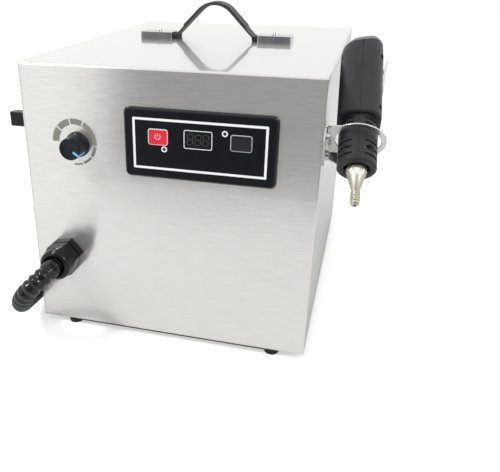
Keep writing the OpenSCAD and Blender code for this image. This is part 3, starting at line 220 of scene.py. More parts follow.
def plastic(name, color, rough, grain=1400.0, bump=0.12, vary=0.12, coat=0.0, sheen=0.3):
    """Moulded plastic or rubber: a fine mould grain, and slight changes of colour and sheen."""
    m, nodes, links, shader = new_material(name)
    fine = noise_node(nodes, links, (1, 1, 1), grain, 2.0)
    slow = noise_node(nodes, links, (1, 1, 1), PLASTIC_TONE_SCALE, 3.0)
    tone = mixed(nodes, links, spread(nodes, links, slow, 0, 1), scaled(color, 1 - vary),
                 scaled(color, 1 + vary))
    links.new(tone, shader.inputs["Base Color"])
    links.new(spread(nodes, links, slow, rough * 0.88, rough * 1.12), shader.inputs["Roughness"])
    links.new(bumped(nodes, links, fine, bump, GRAIN_DEPTH), shader.inputs["Normal"])
    shader.inputs["Specular IOR Level"].default_value = sheen
    if coat:
        shader.inputs["Coat Weight"].default_value = coat
        shader.inputs["Coat Roughness"].default_value = 0.06
    return m


STEEL = (0.765, 0.757, 0.735)
MATERIALS = {
    "steel_x": brushed("steel_x", "x", STEEL, 0.19),
    "steel_y": brushed("steel_y", "y", STEEL, 0.13),
    "bright_steel": metal("bright_steel", (0.72, 0.72, 0.71), 0.24, 1200),
    "zinc": metal("zinc", (0.6, 0.6, 0.61), 0.33, 700, 0.12),
    "chrome": metal("chrome", (0.55, 0.55, 0.57), 0.1, 300, 0.25, 0.03),
    "nickel": metal("nickel", (0.6, 0.57, 0.47), 0.4, 1500, 0.12, 0.1, (1, 1, 0.2)),
    "brass": metal("brass", (0.74, 0.56, 0.28), 0.28, 900, 0.12),
    "copper": metal("copper", (0.72, 0.43, 0.3), 0.3, 600, 0.15),
    "lever": metal("lever", (0.84, 0.84, 0.84), 0.38, 900),
    "rubber": plastic("rubber", (0.014, 0.014, 0.015), 0.6, 900, 0.2),
    "strap": plastic("strap", (0.042, 0.042, 0.044), 0.42, 1800, 0.2, 0.15),
    "gloss_black": plastic("gloss_black", (0.008, 0.009, 0.011), 0.2, 500, 0.03, 0.1, 0.3),
    "overlay": plastic("overlay", (0.004, 0.005, 0.008), 0.16, 240, 0.02, 0.1, 0.15),
    "white_ink": plastic("white_ink", (0.86, 0.86, 0.87), 0.45, 1500, 0.05, 0.02),
    "grey_ink": plastic("grey_ink", (0.25, 0.24, 0.215), 0.5, 1500, 0.05, 0.05),
    "outline_ink": plastic("outline_ink", (0.6, 0.6, 0.61), 0.45, 1500, 0.05, 0.03),
    "window": plastic("window", (0.008, 0.008, 0.011), 0.12, 200, 0.02, 0.1, 0.2),
    "segment": plastic("segment", (0.045, 0.045, 0.05), 0.35, 800, 0.05, 0.1),
    "module": plastic("module", (0.02, 0.02, 0.02), 0.5),
    "red": plastic("red", (0.74, 0.02, 0.035), 0.28, 700, 0.04, 0.06, 0.3),
    "dark_button": plastic("dark_button", (0.02, 0.02, 0.024), 0.25, 500, 0.03, 0.1, 0.3),
    "led": plastic("led", (0.03, 0.03, 0.035), 0.15, 300, 0.02, 0.1, 0.5),
    "board": plastic("board", (0.02, 0.14, 0.06), 0.4, 300, 0.05, 0.15, 0.2),
    "knob": plastic("knob", (0.01, 0.012, 0.015), 0.24, 1600, 0.06, 0.1, sheen=0.22),
    "pointer": plastic("pointer", (0.16, 0.55, 0.85), 0.4, 900, 0.05, 0.06),
    "gland": plastic("gland", (0.005, 0.005, 0.007), 0.17, 700, 0.05, 0.15, sheen=0.34),
    "hose": plastic("hose", (0.006, 0.006, 0.008), 0.11, 500, 0.05, 0.15, sheen=0.42),
    "gun": plastic("gun", (0.026, 0.026, 0.03), 0.38, 1500, 0.16, 0.12),
    "seam": plastic("seam", (0.004, 0.004, 0.005), 0.6, 1500, 0.16, 0.1),
    # the end cap's light grey is a painted reflection of the bright ceiling on its upturned end
    "gun_cap_painted_reflection": plastic("gun_cap_painted_reflection", (0.17, 0.17, 0.175), 0.36, 1500, 0.16, 0.1),
}

NODE_MATERIAL = {
    "steel_x": "front_top_panel base_plate rear_panel",
    "steel_y": "left_panel right_panel",
    "bright_steel": "holder_bracket strap_screws",
    "zinc": "holder_bolts panel_screws foot_screws potentiometer pot_shaft pot_nut holder_nuts "
            "gun_screws lever_pin lever_spring tank_brackets boiler_heater boiler_tank filler_neck",
    "chrome": "strap_caps",
    "nickel": "nozzle nozzle_collar",
    "brass": "gun_valve safety_valve drain_plug",
    "copper": "steam_tube steam_pipe",
    "lever": "steam_lever",
    "rubber": "feet gland_seal hose_run hose_riser",
    "strap": "strap_band strap_grip",
    "gloss_black": "panel_bezel mains_inlet",
    "overlay": "panel_overlay",
    "white_ink": "panel_print",
    "grey_ink": "knob_scale",
    "window": "display_window",
    "module": "display_module solenoid_valve",
    "red": "power_button",
    "dark_button": "steam_button",
    "led": "status_leds",
    "board": "control_board power_board",
    "knob": "knob hose_peg filler_cap hose_collar",
    "pointer": "knob_pointer",
    "gland": "gland_body gland_nut gland_locknut",
    "gun": "gun_shell_left gun_shell_right",
    "gun_cap_painted_reflection": "gun_end_cap",
}
for key, names in NODE_MATERIAL.items():
    for name in names.split():
        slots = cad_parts[name].data.materials
        slots.clear()
        slots.append(MATERIALS[key])


# ---- Making pieces ----


def piece(name, verts, faces, material, body, smooth=True, sharp=None):
    """A mesh piece on a body. Edges that turn by more than sharp degrees stay crisp."""
    mesh = bpy.data.meshes.new(name)
    mesh.from_pydata([tuple(v) for v in verts], [], faces)
    mesh.validate()
    bm = bmesh.new()
    bm.from_mesh(mesh)
    bmesh.ops.recalc_face_normals(bm, faces=bm.faces)
    for f in bm.faces:
        f.smooth = smooth
    if sharp is not None:
        for e in bm.edges:
            if len(e.link_faces) == 2 and e.calc_face_angle() > math.radians(sharp):
                e.smooth = False
    bm.to_mesh(mesh)
    bm.free()
    o = bpy.data.objects.new(name, mesh)
    bpy.context.scene.collection.objects.link(o)
    mesh.materials.append(MATERIALS[material])
    if body:
        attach(o, body)
    return o


def rings_mesh(rings):
    """A closed mesh through rings of points, each a list of the same length."""
    n = len(rings[0])
    verts = [p for ring in rings for p in ring]
    faces = [
        (i * n + k, i * n + (k + 1) % n, (i + 1) * n + (k + 1) % n, (i + 1) * n + k)
        for i in range(len(rings) - 1) for k in range(n)
    ]
    faces += [tuple(range(n - 1, -1, -1)), tuple(range((len(rings) - 1) * n, len(rings) * n))]
    return verts, faces


def round_rect(w, h, r, steps=6):
    """A rectangle's outline with round corners, as (across, up) points."""
    x, z = w / 2 - r, h / 2 - r
    pts = []
    for cx, cz, start in ((x, z, 0), (-x, z, 90), (-x, -z, 180), (x, -z, 270)):
        pts += [(cx + r * math.cos(a), cz + r * math.sin(a))
                for a in (math.radians(start + 90 * k / steps) for k in range(steps + 1))]
    return pts


# ---- Hose ----

# the route of the CAD's two tubes
RUN = [
    (-113, -28, 92), (-113, -38, 92), (-113, -48, 92), (-116, -57, 89), (-123, -63, 82),
    (-132, -64, 72), (-141, -58, 60), (-149, -47, 49), (-156, -32, 40), (-162, -14, 33),
    (-167, 7, 27), (-171, 30, 22), (-174, 55, 17), (-176, 85, 13), (-177, 120, 11),
    (-177, 165, 10), (-177, 220, 10), (-177, 280, 10), (-175, 345, 10), (-168, 395, 10),
    (-148, 440, 10), (-120, 458, 10.2), (-100, 460, 10.4), (-80, 462, 10.4),
]
RISER = [
    (-80, 462, 10.4), (-60, 464, 10.4), (-20, 465, 15), (20, 463, 27), (60, 460, 44),
    (100, 455, 63), (135, 441, 83), (158, 412, 103), (169, 370, 123), (172, 325, 144),
    (173, 280, 167), (173, 237, 192), (173, 200, 217), (173, 170, 236), (173, 146, 251),
    (173, 131, 264),
]
HOSE_D, HOSE_ROOT_D, RIB_PITCH = 20, 16.6, 8.0
# below 1, a rib's crest is fuller than the groove beside it
CREST_SHAPE = 0.6
RINGS_PER_RIB, HOSE_SIDES = 8, 28


def smooth_line(points, steps=10):
    """The same curve through the points as the CAD's."""
    p = [at(*q) for q in points]
    p = [2 * p[0] - p[1], *p, 2 * p[-1] - p[-2]]
    line = []
    for i in range(1, len(p) - 2):
        a, b, c, d = p[i - 1:i + 3]
        for k in range(steps):
            t = k / steps
            line.append(0.5 * (2 * b + (c - a) * t + (2 * a - 5 * b + 4 * c - d) * t * t
                               + (3 * b - a - 3 * c + d) * t ** 3))
    return line + [p[-2]]


def resampled(line, step):
    """Points at an even spacing close to step, and the line's length."""
    at_length = [0.0]
    for a, b in zip(line, line[1:]):
        at_length.append(at_length[-1] + (b - a).length)
    total = at_length[-1]
    count = round(total / step)
    out, i = [], 0
    for k in range(count + 1):
        s = total * k / count
        while i < len(line) - 2 and at_length[i + 1] < s:
            i += 1
        span = at_length[i + 1] - at_length[i]
        out.append(line[i].lerp(line[i + 1], min(1, (s - at_length[i]) / span)))
    return out, total


def carried_sides(points, side):
    """Two vectors square to the line at each of its points, carried along it without twist."""
    out = []
    for i in range(len(points)):
        way = (points[min(i + 1, len(points) - 1)] - points[max(i - 1, 0)]).normalized()
        side = (side - way * side.dot(way)).normalized()
        out.append((side, way.cross(side)))
    return out


def build_hose():
    line = smooth_line(RUN)[:-1] + smooth_line(RISER)
    points, length = resampled(line, RIB_PITCH * MM / RINGS_PER_RIB)
    root, depth = HOSE_ROOT_D / 2, (HOSE_D - HOSE_ROOT_D) / 2
    angles = [2 * math.pi * k / HOSE_SIDES for k in range(HOSE_SIDES)]
    rings = []
    for i, (p, (side, other)) in enumerate(zip(points, carried_sides(points, Vector((0, 0, 1))))):
        crest = 0.5 - 0.5 * math.cos(2 * math.pi * i / RINGS_PER_RIB)
        r = (root + depth * crest ** CREST_SHAPE) * MM
        rings.append([p + r * (math.cos(a) * side + math.sin(a) * other) for a in angles])
    hose = piece("hose", *rings_mesh(rings), "hose", None)
    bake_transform(hose)
    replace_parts(hose, "hose_run", "hose_riser")


build_hose()


# ---- Strap handle ----

STRAP_X, STRAP_Y, TOP_Z = -5.5, 224, 295
ARCH_RISE, ARCH_SLOPE, ARCH_TOP_R, ARCH_FOOT_R = 39, 45, 26, 8
STRAP_SEAT, STRAP_T, GRIP_T, STRAP_W = 0.6, 2.2, 1.6, 22
STRAP_TAIL, GRIP_BACK = 12, 14
# how far the grip layer is narrower than the strap, and how much thinner its two ends are
GRIP_NARROWER, GRIP_END_THINNER = 1.4, 0.45
STRAP_EDGE = 0.9
BAND_RIBS, BAND_GROOVE = 4, 0.35
GRIP_RIBS, GRIP_GROOVE = 3, 0.45
ARCH_STEP = 3
FLANK_STEPS = 8


def arch_half():
    """Half the arch's width at its foot, and the length of its straight flank."""
    slope = math.radians(ARCH_SLOPE)
    flank = (ARCH_RISE - (ARCH_TOP_R + ARCH_FOOT_R) * (1 - math.cos(slope))) / math.sin(slope)
    return (ARCH_TOP_R + ARCH_FOOT_R) * math.sin(slope) + flank * math.cos(slope), flank


def arch_points(whole):
    """The strap's underside from left to right, as (along, height, normal along, normal up)."""
    half, flank = arch_half()
    slope = math.radians(ARCH_SLOPE)
    bend = [math.radians(a) for a in range(0, ARCH_SLOPE + 1, ARCH_STEP)]
    right_half = [(ARCH_TOP_R * math.sin(a), ARCH_RISE - ARCH_TOP_R * (1 - math.cos(a)), math.sin(a),
                   math.cos(a)) for a in bend]
    foot_x, foot_z = half - ARCH_FOOT_R * math.sin(slope), ARCH_FOOT_R * (1 - math.cos(slope))
    end = 0 if whole else GRIP_BACK
    for k in range(1, FLANK_STEPS + 1):
        s = end + (flank - end) * (1 - k / FLANK_STEPS)
        right_half.append((foot_x - s * math.cos(slope), foot_z + s * math.sin(slope), math.sin(slope),
                           math.cos(slope)))
    if whole:
        right_half += [(half - ARCH_FOOT_R * math.sin(a), ARCH_FOOT_R * (1 - math.cos(a)), math.sin(a),
                        math.cos(a)) for a in reversed(bend[:-1])]
        right_half.append((half + STRAP_TAIL, 0, 0, 1))
    return [(-x, z, -nx, nz) for x, z, nx, nz in reversed(right_half[1:])] + right_half


def ribbed_section(width, thick, ribs, groove):
    """A strap's section with round edges and lengthwise grooves on both faces, as (across, up) points."""
    flat = width / 2 - STRAP_EDGE
    steps = ribs * 6
    face = []
    for k in range(steps + 1):
        t = k / steps
        dip = groove * max(0.0, math.cos(2 * math.pi * ribs * t)) ** 3 if 0 < k < steps else 0.0
        face.append((-flat + 2 * flat * t, thick - dip))
    rim = [(flat + STRAP_EDGE * math.sin(a), thick / 2 + (thick / 2) * math.cos(a))
           for a in (math.pi * k / 6 for k in range(1, 6))]
    return face + rim + [(-x, thick - z) for x, z in face + rim]


def strap_layer(name, whole, low, section, end_thinner=0.0):
    """A layer of the strap, swept along the arch at a height above its underside."""
    line = arch_points(whole)
    rings = []
    for i, (x, z, nx, nz) in enumerate(line):
        thinner = 0.0 if 0 < i < len(line) - 1 else end_thinner
        ring = []
        for a, u in section:
            rise = low + u * (1 - thinner)
            ring.append(at(STRAP_X + x + nx * rise, STRAP_Y + a * (1 - thinner / 3),
                           TOP_Z + STRAP_SEAT + z + nz * rise))
        rings.append(ring)
    return piece(name, *rings_mesh(rings), "strap", "cabinet", sharp=50)


def build_strap():
    band = ribbed_section(STRAP_W, STRAP_T, BAND_RIBS, BAND_GROOVE)
    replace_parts(strap_layer("strap_band_piece", True, 0, band), "strap_band")
    grip = ribbed_section(STRAP_W - GRIP_NARROWER, GRIP_T, GRIP_RIBS, GRIP_GROOVE)
    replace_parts(strap_layer("strap_grip_piece", False, STRAP_T, grip, GRIP_END_THINNER), "strap_grip")


build_strap()


# ---- Strap stops ----

STOP_WIDER, STOP_H, STOP_MIDDLE, STOP_R = 1.6, 5.3, 2.75, 1.2
# distance in from the arch's foot, and inset of the outline there
STOP_PROFILE = ((0.1, 0.5), (0.6, 0), (5.6, 0), (6.3, 0.7))
STOP_TAPER = 12


def build_strap_stops():
    """A moulded stop where the strap leaves each cap."""
    half, _ = arch_half()
    for side, name in ((-1, "strap_stop_left"), (1, "strap_stop_right")):
        rings = []
        for step, inset in STOP_PROFILE:
            x = STRAP_X + side * (half - step)
            rings.append([at(x, STRAP_Y + a * (1 - inset / STOP_TAPER), TOP_Z + STOP_MIDDLE + b)
                          for a, b in round_rect(STRAP_W + STOP_WIDER, STOP_H - inset, STOP_R)])
        piece(name, *rings_mesh(rings), "rubber", "cabinet", sharp=40)


build_strap_stops()


# ---- Turned pieces ----

AHEAD = (0, -1, 0)
# a reach larger than any radius here
NO_LIMIT = 20


def turned(name, profile, place, axis, material, body, sides, limit, twist=0.0, sharp=32):
    """A piece turned about an axis.

    profile has (height, radius) pairs, and limit(height, angle) is the largest radius there.
    """
    axis = Vector(axis).normalized()
    side = axis.orthogonal().normalized() if abs(axis.y) < 0.9 else Vector((1, 0, 0))
    side = (side - axis * side.dot(axis)).normalized()
    other = axis.cross(side)
    rings = []
    for h, r in profile:
        ring = []
        for k in range(sides):
            a = 2 * math.pi * k / sides
            reach = max(min(r, limit(h, a - twist)), 0.001)
            ring.append(place + (axis * h + (side * math.cos(a) + other * math.sin(a)) * reach) * MM)
        rings.append(ring)
    return piece(name, *rings_mesh(rings), material, body, sharp=sharp)


def hexagon(corner_r):
    """The radius of a hexagon's outline at an angle, its first corner at angle 0."""
    return lambda h, a: corner_r * math.cos(math.pi / 6) / math.cos((a % (math.pi / 3)) - math.pi / 6)


def ripple(count, angle):
    """From 0 to 1 and back, so many times round."""
    return 0.5 + 0.5 * math.cos(count * angle)


# ---- Gland ----

GLAND_PLACE = (-113, 0, 92)
HEX_CORNER_R, GLAND_SIDES = 19.5, 144
# seen along -Y with +X to the right, angles run from +X towards -Z
GLAND_TWIST = math.radians(11.5)
DOME_START, DOME_R, DOME_IN = 30.8, 4.2, 12.6


def build_gland():
    def hexagonal(name, profile):
        return turned(name, profile, at(*GLAND_PLACE), AHEAD, "gland", "cabinet", GLAND_SIDES,
                      hexagon(HEX_CORNER_R), GLAND_TWIST)

    collar = [(0.05, 17.6), (0.5, 19.2), (1.2, 19.6), (7.6, 19.6), (8.5, 19.2), (8.95, 18.4), (9, 14.6),
              (10.9, 14.5)]
    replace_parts(hexagonal("gland_collar", collar), "gland_body")
    nut = [(11, 14.6), (11.05, 18.2), (11.4, 19.1), (12, 19.6), (20.8, 19.6), (22.4, 19.0), (23.8, 18.0),
           (25, 17.2), (26.2, 16.85), (28, 16.8), (30.6, 16.8)]
    nut += [(DOME_START + DOME_R * math.sin(a), DOME_IN + DOME_R * math.cos(a))
            for a in (math.radians(d) for d in range(10, 95, 10))]
    nut += [(34.9, 11.9), (34.5, 11.3), (33.8, 11.05), (28.2, 11.0), (28, 8.6)]
    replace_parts(hexagonal("gland_nut_piece", nut), "gland_nut")


build_gland()


# ---- Knob ----

KNOB_PLACE = (-91.5, 0, 216.5)
KNOB_R, KNOB_FACE, KNOB_SIDES = 11.2, 20.2, 216
FLUTES, FLUTE_DEPTH, FLUTE_START, FLUTE_END = 36, 0.4, 5.5, 17.5
MARK_TURN, MARK_HALF_W = math.radians(-33), 1.1


def build_knob():
    skirt = [(1.2, 12.4), (1.3, 12.85), (1.7, 12.9), (2.3, 12.5), (4.2, 11.4)]
    barrel = [(h, KNOB_R) for h in (4.8, 5.2, 5.8, 17, 17.8)]
    rim = [(19.2, 11.05), (19.9, 10.7), (KNOB_FACE, 10.1), (KNOB_FACE, 9.5), (20.05, 9.2)]
    dish = [(19.9, r) for r in (8.8, 4, 0)]

    def flutes(h, a):
        return KNOB_R - FLUTE_DEPTH * ripple(FLUTES, a) if FLUTE_START < h < FLUTE_END else NO_LIMIT

    profile = skirt + barrel + rim + dish
    cap = turned("knob_piece", profile, at(*KNOB_PLACE), AHEAD, "knob", "knob", KNOB_SIDES, flutes)
    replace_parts(cap, "knob")


def build_knob_mark():
    """A strip that runs out along the face, over the rim and back along the side."""
    out = Vector((math.cos(MARK_TURN), 0, math.sin(MARK_TURN)))
    across = Vector((-math.sin(MARK_TURN), 0, math.cos(MARK_TURN)))
    outline = [(4.4, 19.8), (4.4, 20), (8.8, 20), (9.4, 20.25), (10.2, 20.25), (10.9, 19.9), (11.25, 19.2),
               (11.28, 4.6), (10.9, 4.6), (10.8, 19), (10.1, 19.8)]
    verts = [at(*KNOB_PLACE) + (out * r + across * w + Vector((0, -h, 0))) * MM
             for w in (-MARK_HALF_W, MARK_HALF_W) for r, h in outline]
    n = len(outline)
    faces = [(k, (k + 1) % n, n + (k + 1) % n, n + k) for k in range(n)]
    faces += [tuple(range(n)), tuple(range(2 * n - 1, n - 1, -1))]
    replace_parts(piece("knob_mark", verts, faces, "pointer", "knob", smooth=False), "knob_pointer")


build_knob()
build_knob_mark()


# ---- Gun ----

GUN_PLACE = (179.5, 22, 236.1)
GUN_TURN = Matrix.Rotation(math.radians(-52), 3, "X") @ Matrix.Rotation(math.radians(-3.5), 3, "Y")
# each stretch of the seam: its distance from the gun's axis, its start and its end
SEAMS = (("nose", 17.6, -31, 6), ("neck", 16.2, 6.8, 18.8), ("body", 20, 21.8, 106.8))
SEAM_SECTION = ((-0.3, 0.1), (-0.26, 0.03), (0, -0.03), (0.26, 0.03), (0.3, 0.1), (0, 0.3))
SEAM_PROUD, SEAM_STEPS = 0.02, 12
NOZZLE_END, TIP_START, NOZZLE_SIDES = 69, 54.5, 160
THREADS, THREAD_PITCH = 5, 2.1
# one turn of the thread, as (height, radius)
THREAD = ((0, 3.2), (0.3, 3.25), (0.95, 4.2), (1.35, 4.2), (1.95, 3.25))
KNURLS, KNURL_DEPTH, KNURL_START, KNURL_END = 40, 0.2, 35.2, 41
CONE_R, CONE_START, CONE_SLOPE = 9, 35.4, 0.27


def gun_at(x, y, z):
    """A point of the gun's own frame, whose Z runs from the nozzle to the tail, in the row frame."""
    return at(*GUN_PLACE) + GUN_TURN @ Vector((x, y, z)) * MM


def build_seam():
    """The fine groove between the two shells, with a lip on each side, along the side that faces front."""
    for name, depth, start, end in SEAMS:
        rings = [[gun_at(x, -depth - SEAM_PROUD + y, start + (end - start) * k / SEAM_STEPS)
                  for x, y in SEAM_SECTION] for k in range(SEAM_STEPS + 1)]
        piece("gun_seam_" + name, *rings_mesh(rings), "seam", "gun", sharp=50)


def build_nozzle():
    """A cone with a knurled root and a threaded tip, turned about the gun's axis."""
    profile = [(34.6, 6), (35.1, 8.6), (CONE_START, CONE_R), (40.8, 7.55), (41.2, 7.3),
               (TIP_START - 0.3, 3.45)]
    for k in range(THREADS):
        profile += [(TIP_START + THREAD_PITCH * k + h, r) for h, r in THREAD]
    profile += [(NOZZLE_END - back, r)
                for back, r in ((3.6, 3.5), (3.2, 3.9), (1.8, 3.9), (0, 2.5), (0, 1.3), (4, 1.25))]

    def knurl(h, a):
        if KNURL_START < h < KNURL_END:
            return CONE_R - (h - CONE_START) * CONE_SLOPE - KNURL_DEPTH * ripple(KNURLS, a)
        return NO_LIMIT

    nozzle = turned("nozzle_piece", profile, gun_at(0, 0, 0), GUN_TURN @ Vector((0, 0, -1)), "nickel", "gun",
                    NOZZLE_SIDES, knurl, sharp=28)
    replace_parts(nozzle, "nozzle")


build_seam()
build_nozzle()


# ---- Prints on the control panel ----

# the controls' middle line
CONTROLS_X, CONTROLS_Z = 35, 231.5
POWER_X, STEAM_X = -40.5, 41
# how far each face stands out of the cabinet's front, and the ink's thickness on it
OVERLAY_FACE, OVERLAY_INK = 2.78, 0.14
BUTTON_FACE, BUTTON_INK = 3.8, 0.06
WINDOW_FACE, DIGIT_T = 2.79, 0.05
OUTLINE_H, OUTLINE_R = 15.9, 2.6
STATUS_OUTER_R, STATUS_INNER_R, STATUS_SIDES = 2.9, 1.7, 30
SYMBOL_R, SYMBOL_T, SYMBOL_UP = 3.0, 0.6, 0.6
DIGIT_W, DIGIT_H, DIGIT_PITCH, DIGIT_LEAN = 5.4, 10.4, 7.6, 0.1
BAR_T, BAR_GAP = 0.9, 0.35
DIGITS_X = -0.75


def flat_piece(name, shapes, x, z, face, thick, material, body):
    """Thin plates on the panel: each shape is a closed outline, or a pair of outlines that make a ring."""
    verts, faces = [], []
    for shape in shapes:
        ring = isinstance(shape, tuple)
        loops = shape if ring else (shape,)
        ids = []
        for y in (-face - thick, -face):
            for loop in loops:
                ids.append([len(verts) + k for k in range(len(loop))])
                verts += [at(x + a, y, z + b) for a, b in loop]
        n = len(loops[0])
        if ring:
            outer, inner, outer_back, inner_back = ids
            pairs = ((outer, inner), (inner, inner_back), (inner_back, outer_back), (outer_back, outer))
        else:
            near, far = ids
            faces += [tuple(near), tuple(reversed(far))]
            pairs = ((near, far),)
        for a, b in pairs:
            faces += [(a[k], a[(k + 1) % n], b[(k + 1) % n], b[k]) for k in range(n)]
    return piece(name, verts, faces, material, body, smooth=False)


def frame_shape(w, h, r, t):
    return round_rect(w, h, r), round_rect(w - 2 * t, h - 2 * t, max(r - t, 0.1))


def circle(r, sides):
    return [(r * math.cos(a), r * math.sin(a)) for a in (math.radians(360 / sides * k) for k in range(sides))]


def arc_shape(r, t, start, end, steps=20):
    """A band of width t along an arc, between two angles in degrees."""
    angles = [math.radians(start + (end - start) * k / steps) for k in range(steps + 1)]
    return [(r * math.cos(a), r * math.sin(a)) for a in angles] + \
        [((r - t) * math.cos(a), (r - t) * math.sin(a)) for a in reversed(angles)]


def build_button_prints():
    for name, along, width, line, ink in (("power_outline", POWER_X, 20, 0.95, "white_ink"),
                                          ("steam_outline", STEAM_X, 20.8, 0.85, "outline_ink")):
        shape = frame_shape(width, OUTLINE_H, OUTLINE_R, line)
        flat_piece(name, [shape], CONTROLS_X + along, CONTROLS_Z, OVERLAY_FACE, OVERLAY_INK, ink, "cabinet")
    half = SYMBOL_T / 2
    stroke = [(-half, 0.2), (half, 0.2), (half, 3.3), (-half, 3.3)]
    flat_piece("power_symbol", [arc_shape(SYMBOL_R, SYMBOL_T, 125, 415), stroke], CONTROLS_X + POWER_X,
               CONTROLS_Z + SYMBOL_UP, BUTTON_FACE, BUTTON_INK, "white_ink", "power_button")


def build_status_rings():
    ring = circle(STATUS_OUTER_R, STATUS_SIDES), circle(STATUS_INNER_R, STATUS_SIDES)
    for name, along, up in (("ready_ring", -34.3, -11.65), ("steam_ring", 25.2, 8.15)):
        flat_piece(name, [ring], CONTROLS_X + along, CONTROLS_Z + up, OVERLAY_FACE, OVERLAY_INK, "white_ink",
                   "cabinet")


def display_bar(half_length):
    """A bar of a digit with pointed ends, as (along, across) points."""
    edge, tip = BAR_T / 2, half_length - BAR_T / 2
    return [(-half_length, 0), (-tip, edge), (tip, edge), (half_length, 0), (tip, -edge), (-tip, -edge)]


def build_digits():
    """Three unlit seven-segment digits on the window's face."""
    lying = display_bar(DIGIT_W / 2 - BAR_GAP)
    upright = [(across, along) for along, across in display_bar(DIGIT_H / 4 - BAR_GAP)]
    bars = [(0, z, lying) for z in (DIGIT_H / 2, 0, -DIGIT_H / 2)]
    bars += [(x, z, upright) for z in (DIGIT_H / 4, -DIGIT_H / 4) for x in (-DIGIT_W / 2, DIGIT_W / 2)]
    shapes = [[(digit + bar_x + x + DIGIT_LEAN * (bar_z + z), bar_z + z) for x, z in bar]
              for digit in (-DIGIT_PITCH, 0, DIGIT_PITCH) for bar_x, bar_z, bar in bars]
    flat_piece("display_digits", shapes, CONTROLS_X + DIGITS_X, CONTROLS_Z, WINDOW_FACE, DIGIT_T, "segment",
               "cabinet")


build_button_prints()
build_status_rings()
build_digits()


# ---- Painted shadow line under the front sheet ----

STRIP_START, STRIP_STEP, STRIP_STEPS = -108, 23.2, 10
STRIP_Y, STRIP_Z, STRIP_DEPTH, STRIP_H, STRIP_R = 1.6, 6.9, 1.6, 1, 0.4


def build_shadow_line_strip():
    """A thin dark strip under the front sheet, painted shade that stands in for the shadow in the gap there.
    """
    section = round_rect(STRIP_DEPTH, STRIP_H, STRIP_R, 4)
    rings = [[at(STRIP_START + STRIP_STEP * k, STRIP_Y + a, STRIP_Z + b) for a, b in section]
             for k in range(STRIP_STEPS + 1)]
    piece("shadow_line_strip", *rings_mesh(rings), "rubber", "cabinet", sharp=40)


build_shadow_line_strip()


# ---- Round edges on CAD nodes ----

# two corners of a CAD mesh closer than this are one, in metres
WELD_GAP = 2e-6
BEVEL_STEPS, BEVEL_FROM_ANGLE = 2, 35
EDGE_WIDTH = {
    "panel_bezel": 0.35, "feet": 0.5, "hose_peg": 0.8, "strap_caps": 0.6, "holder_bracket": 0.3,
    "holder_bolts": 0.3, "power_button": 0.35, "steam_button": 0.35, "gun_end_cap": 0.6, "steam_lever": 0.5,
    "filler_cap": 0.5, "mains_inlet": 0.4, "panel_screws": 0.15, "strap_screws": 0.2, "drain_plug": 0.3,
    "hose_collar": 0.4, "nozzle_collar": 0.1,
}


def soften(name, width):
    """Rounds a CAD node's edges with modifiers, which leave its mesh as it is."""
    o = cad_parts[name]
    weld = o.modifiers.new("weld", "WELD")
    weld.merge_threshold = WELD_GAP
    bevel = o.modifiers.new("bevel", "BEVEL")
    bevel.width = width * MM
    bevel.segments = BEVEL_STEPS
    bevel.limit_method = "ANGLE"
    bevel.angle_limit = math.radians(BEVEL_FROM_ANGLE)
    shade = o.modifiers.new("shade", "WEIGHTED_NORMAL")
    shade.weight = 50


for name, width in EDGE_WIDTH.items():
    soften(name, width)


# ---- Stage, in the row frame's metres ----

WHITE = (1, 1, 1)
# what lights the object from all sides, and the darker room that its reflections show in front
STUDIO_COLOR, ROOM_COLOR = (0.74, 0.74, 0.745), (0.245, 0.245, 0.25)
# the room's soft borders, as parts of a direction: ahead of it, at its left side and at its top
ROOM_AHEAD, ROOM_LEFT, ROOM_TOP = (-0.75, -0.45), (-0.42, -0.37), (0.45, 0.85)
# the floor's half width, its front and its rear edge
FLOOR_SIDE, FLOOR_FRONT, FLOOR_REAR = 3.0, -0.66, 4.0
FLOOR_COLOR, FLOOR_ROUGH, FLOOR_GLOW = (0.8, 0.8, 0.8), 0.6, 0.45
LAMP_AIM = (0, 0, 0.15)
# each lamp's place, the side of its square and its power in watts
LAMPS = {"key": ((-0.9, -1.0, 1.5), 0.22, 15), "fill": ((1.2, -0.7, 1.2), 0.16, 5)}


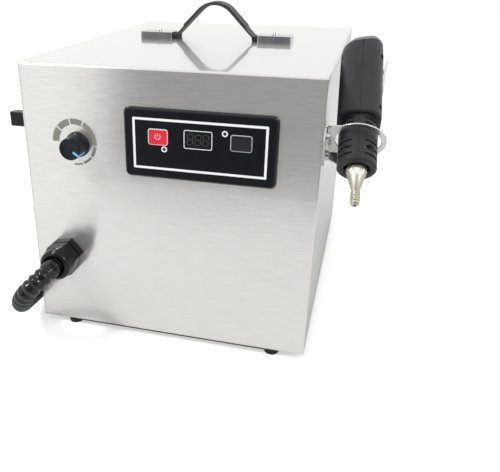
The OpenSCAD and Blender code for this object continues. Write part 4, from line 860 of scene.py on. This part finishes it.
def build_world():
    """White for the camera, an even grey for the light, and a dark room in what glossy surfaces see."""
    world = bpy.data.worlds.new("world")
    bpy.context.scene.world = world
    world.use_nodes = True
    nodes, links = world.node_tree.nodes, world.node_tree.links
    rays = nodes.new("ShaderNodeLightPath")
    where = nodes.new("ShaderNodeTexCoord")
    parts = nodes.new("ShaderNodeSeparateXYZ")
    links.new(where.outputs["Generated"], parts.inputs[0])
    ahead = spread(nodes, links, parts.outputs["Y"], 1, 0, *ROOM_AHEAD)
    beside = spread(nodes, links, parts.outputs["X"], 0, 1, *ROOM_LEFT)
    below = spread(nodes, links, parts.outputs["Z"], 1, 0, *ROOM_TOP)
    dark = combined(nodes, links, "MULTIPLY", ahead, beside)
    dark = combined(nodes, links, "MULTIPLY", dark, below)
    seen = mixed(nodes, links, dark, WHITE, ROOM_COLOR)
    light = mixed(nodes, links, rays.outputs["Is Glossy Ray"], STUDIO_COLOR, seen)
    back = nodes["Background"]
    links.new(mixed(nodes, links, rays.outputs["Is Camera Ray"], light, WHITE), back.inputs["Color"])
    back.inputs["Strength"].default_value = 1.0


def build_floor():
    """A pale floor that glows a little for the camera, so that it joins the white around it."""
    ground = bpy.data.meshes.new("floor")
    corners = [(-FLOOR_SIDE, FLOOR_FRONT, 0), (FLOOR_SIDE, FLOOR_FRONT, 0), (FLOOR_SIDE, FLOOR_REAR, 0),
               (-FLOOR_SIDE, FLOOR_REAR, 0)]
    ground.from_pydata(corners, [], [(0, 1, 2, 3)])
    floor = bpy.data.objects.new("floor", ground)
    bpy.context.scene.collection.objects.link(floor)
    m, nodes, links, shader = new_material("floor")
    shader.inputs["Base Color"].default_value = (*FLOOR_COLOR, 1)
    shader.inputs["Roughness"].default_value = FLOOR_ROUGH
    rays = nodes.new("ShaderNodeLightPath")
    glow = combined(nodes, links, "MULTIPLY", rays.outputs["Is Camera Ray"], FLOOR_GLOW)
    shader.inputs["Emission Color"].default_value = (*WHITE, 1)
    links.new(glow, shader.inputs["Emission Strength"])
    ground.materials.append(m)


def build_lamps():
    for name, (place, size, watts) in LAMPS.items():
        light = bpy.data.lights.new(name, "AREA")
        light.size = size
        light.energy = watts
        o = bpy.data.objects.new(name, light)
        bpy.context.scene.collection.objects.link(o)
        o.location = place
        o.rotation_euler = (Vector(LAMP_AIM) - Vector(place)).to_track_quat("-Z", "Y").to_euler()


build_world()
build_floor()
build_lamps()
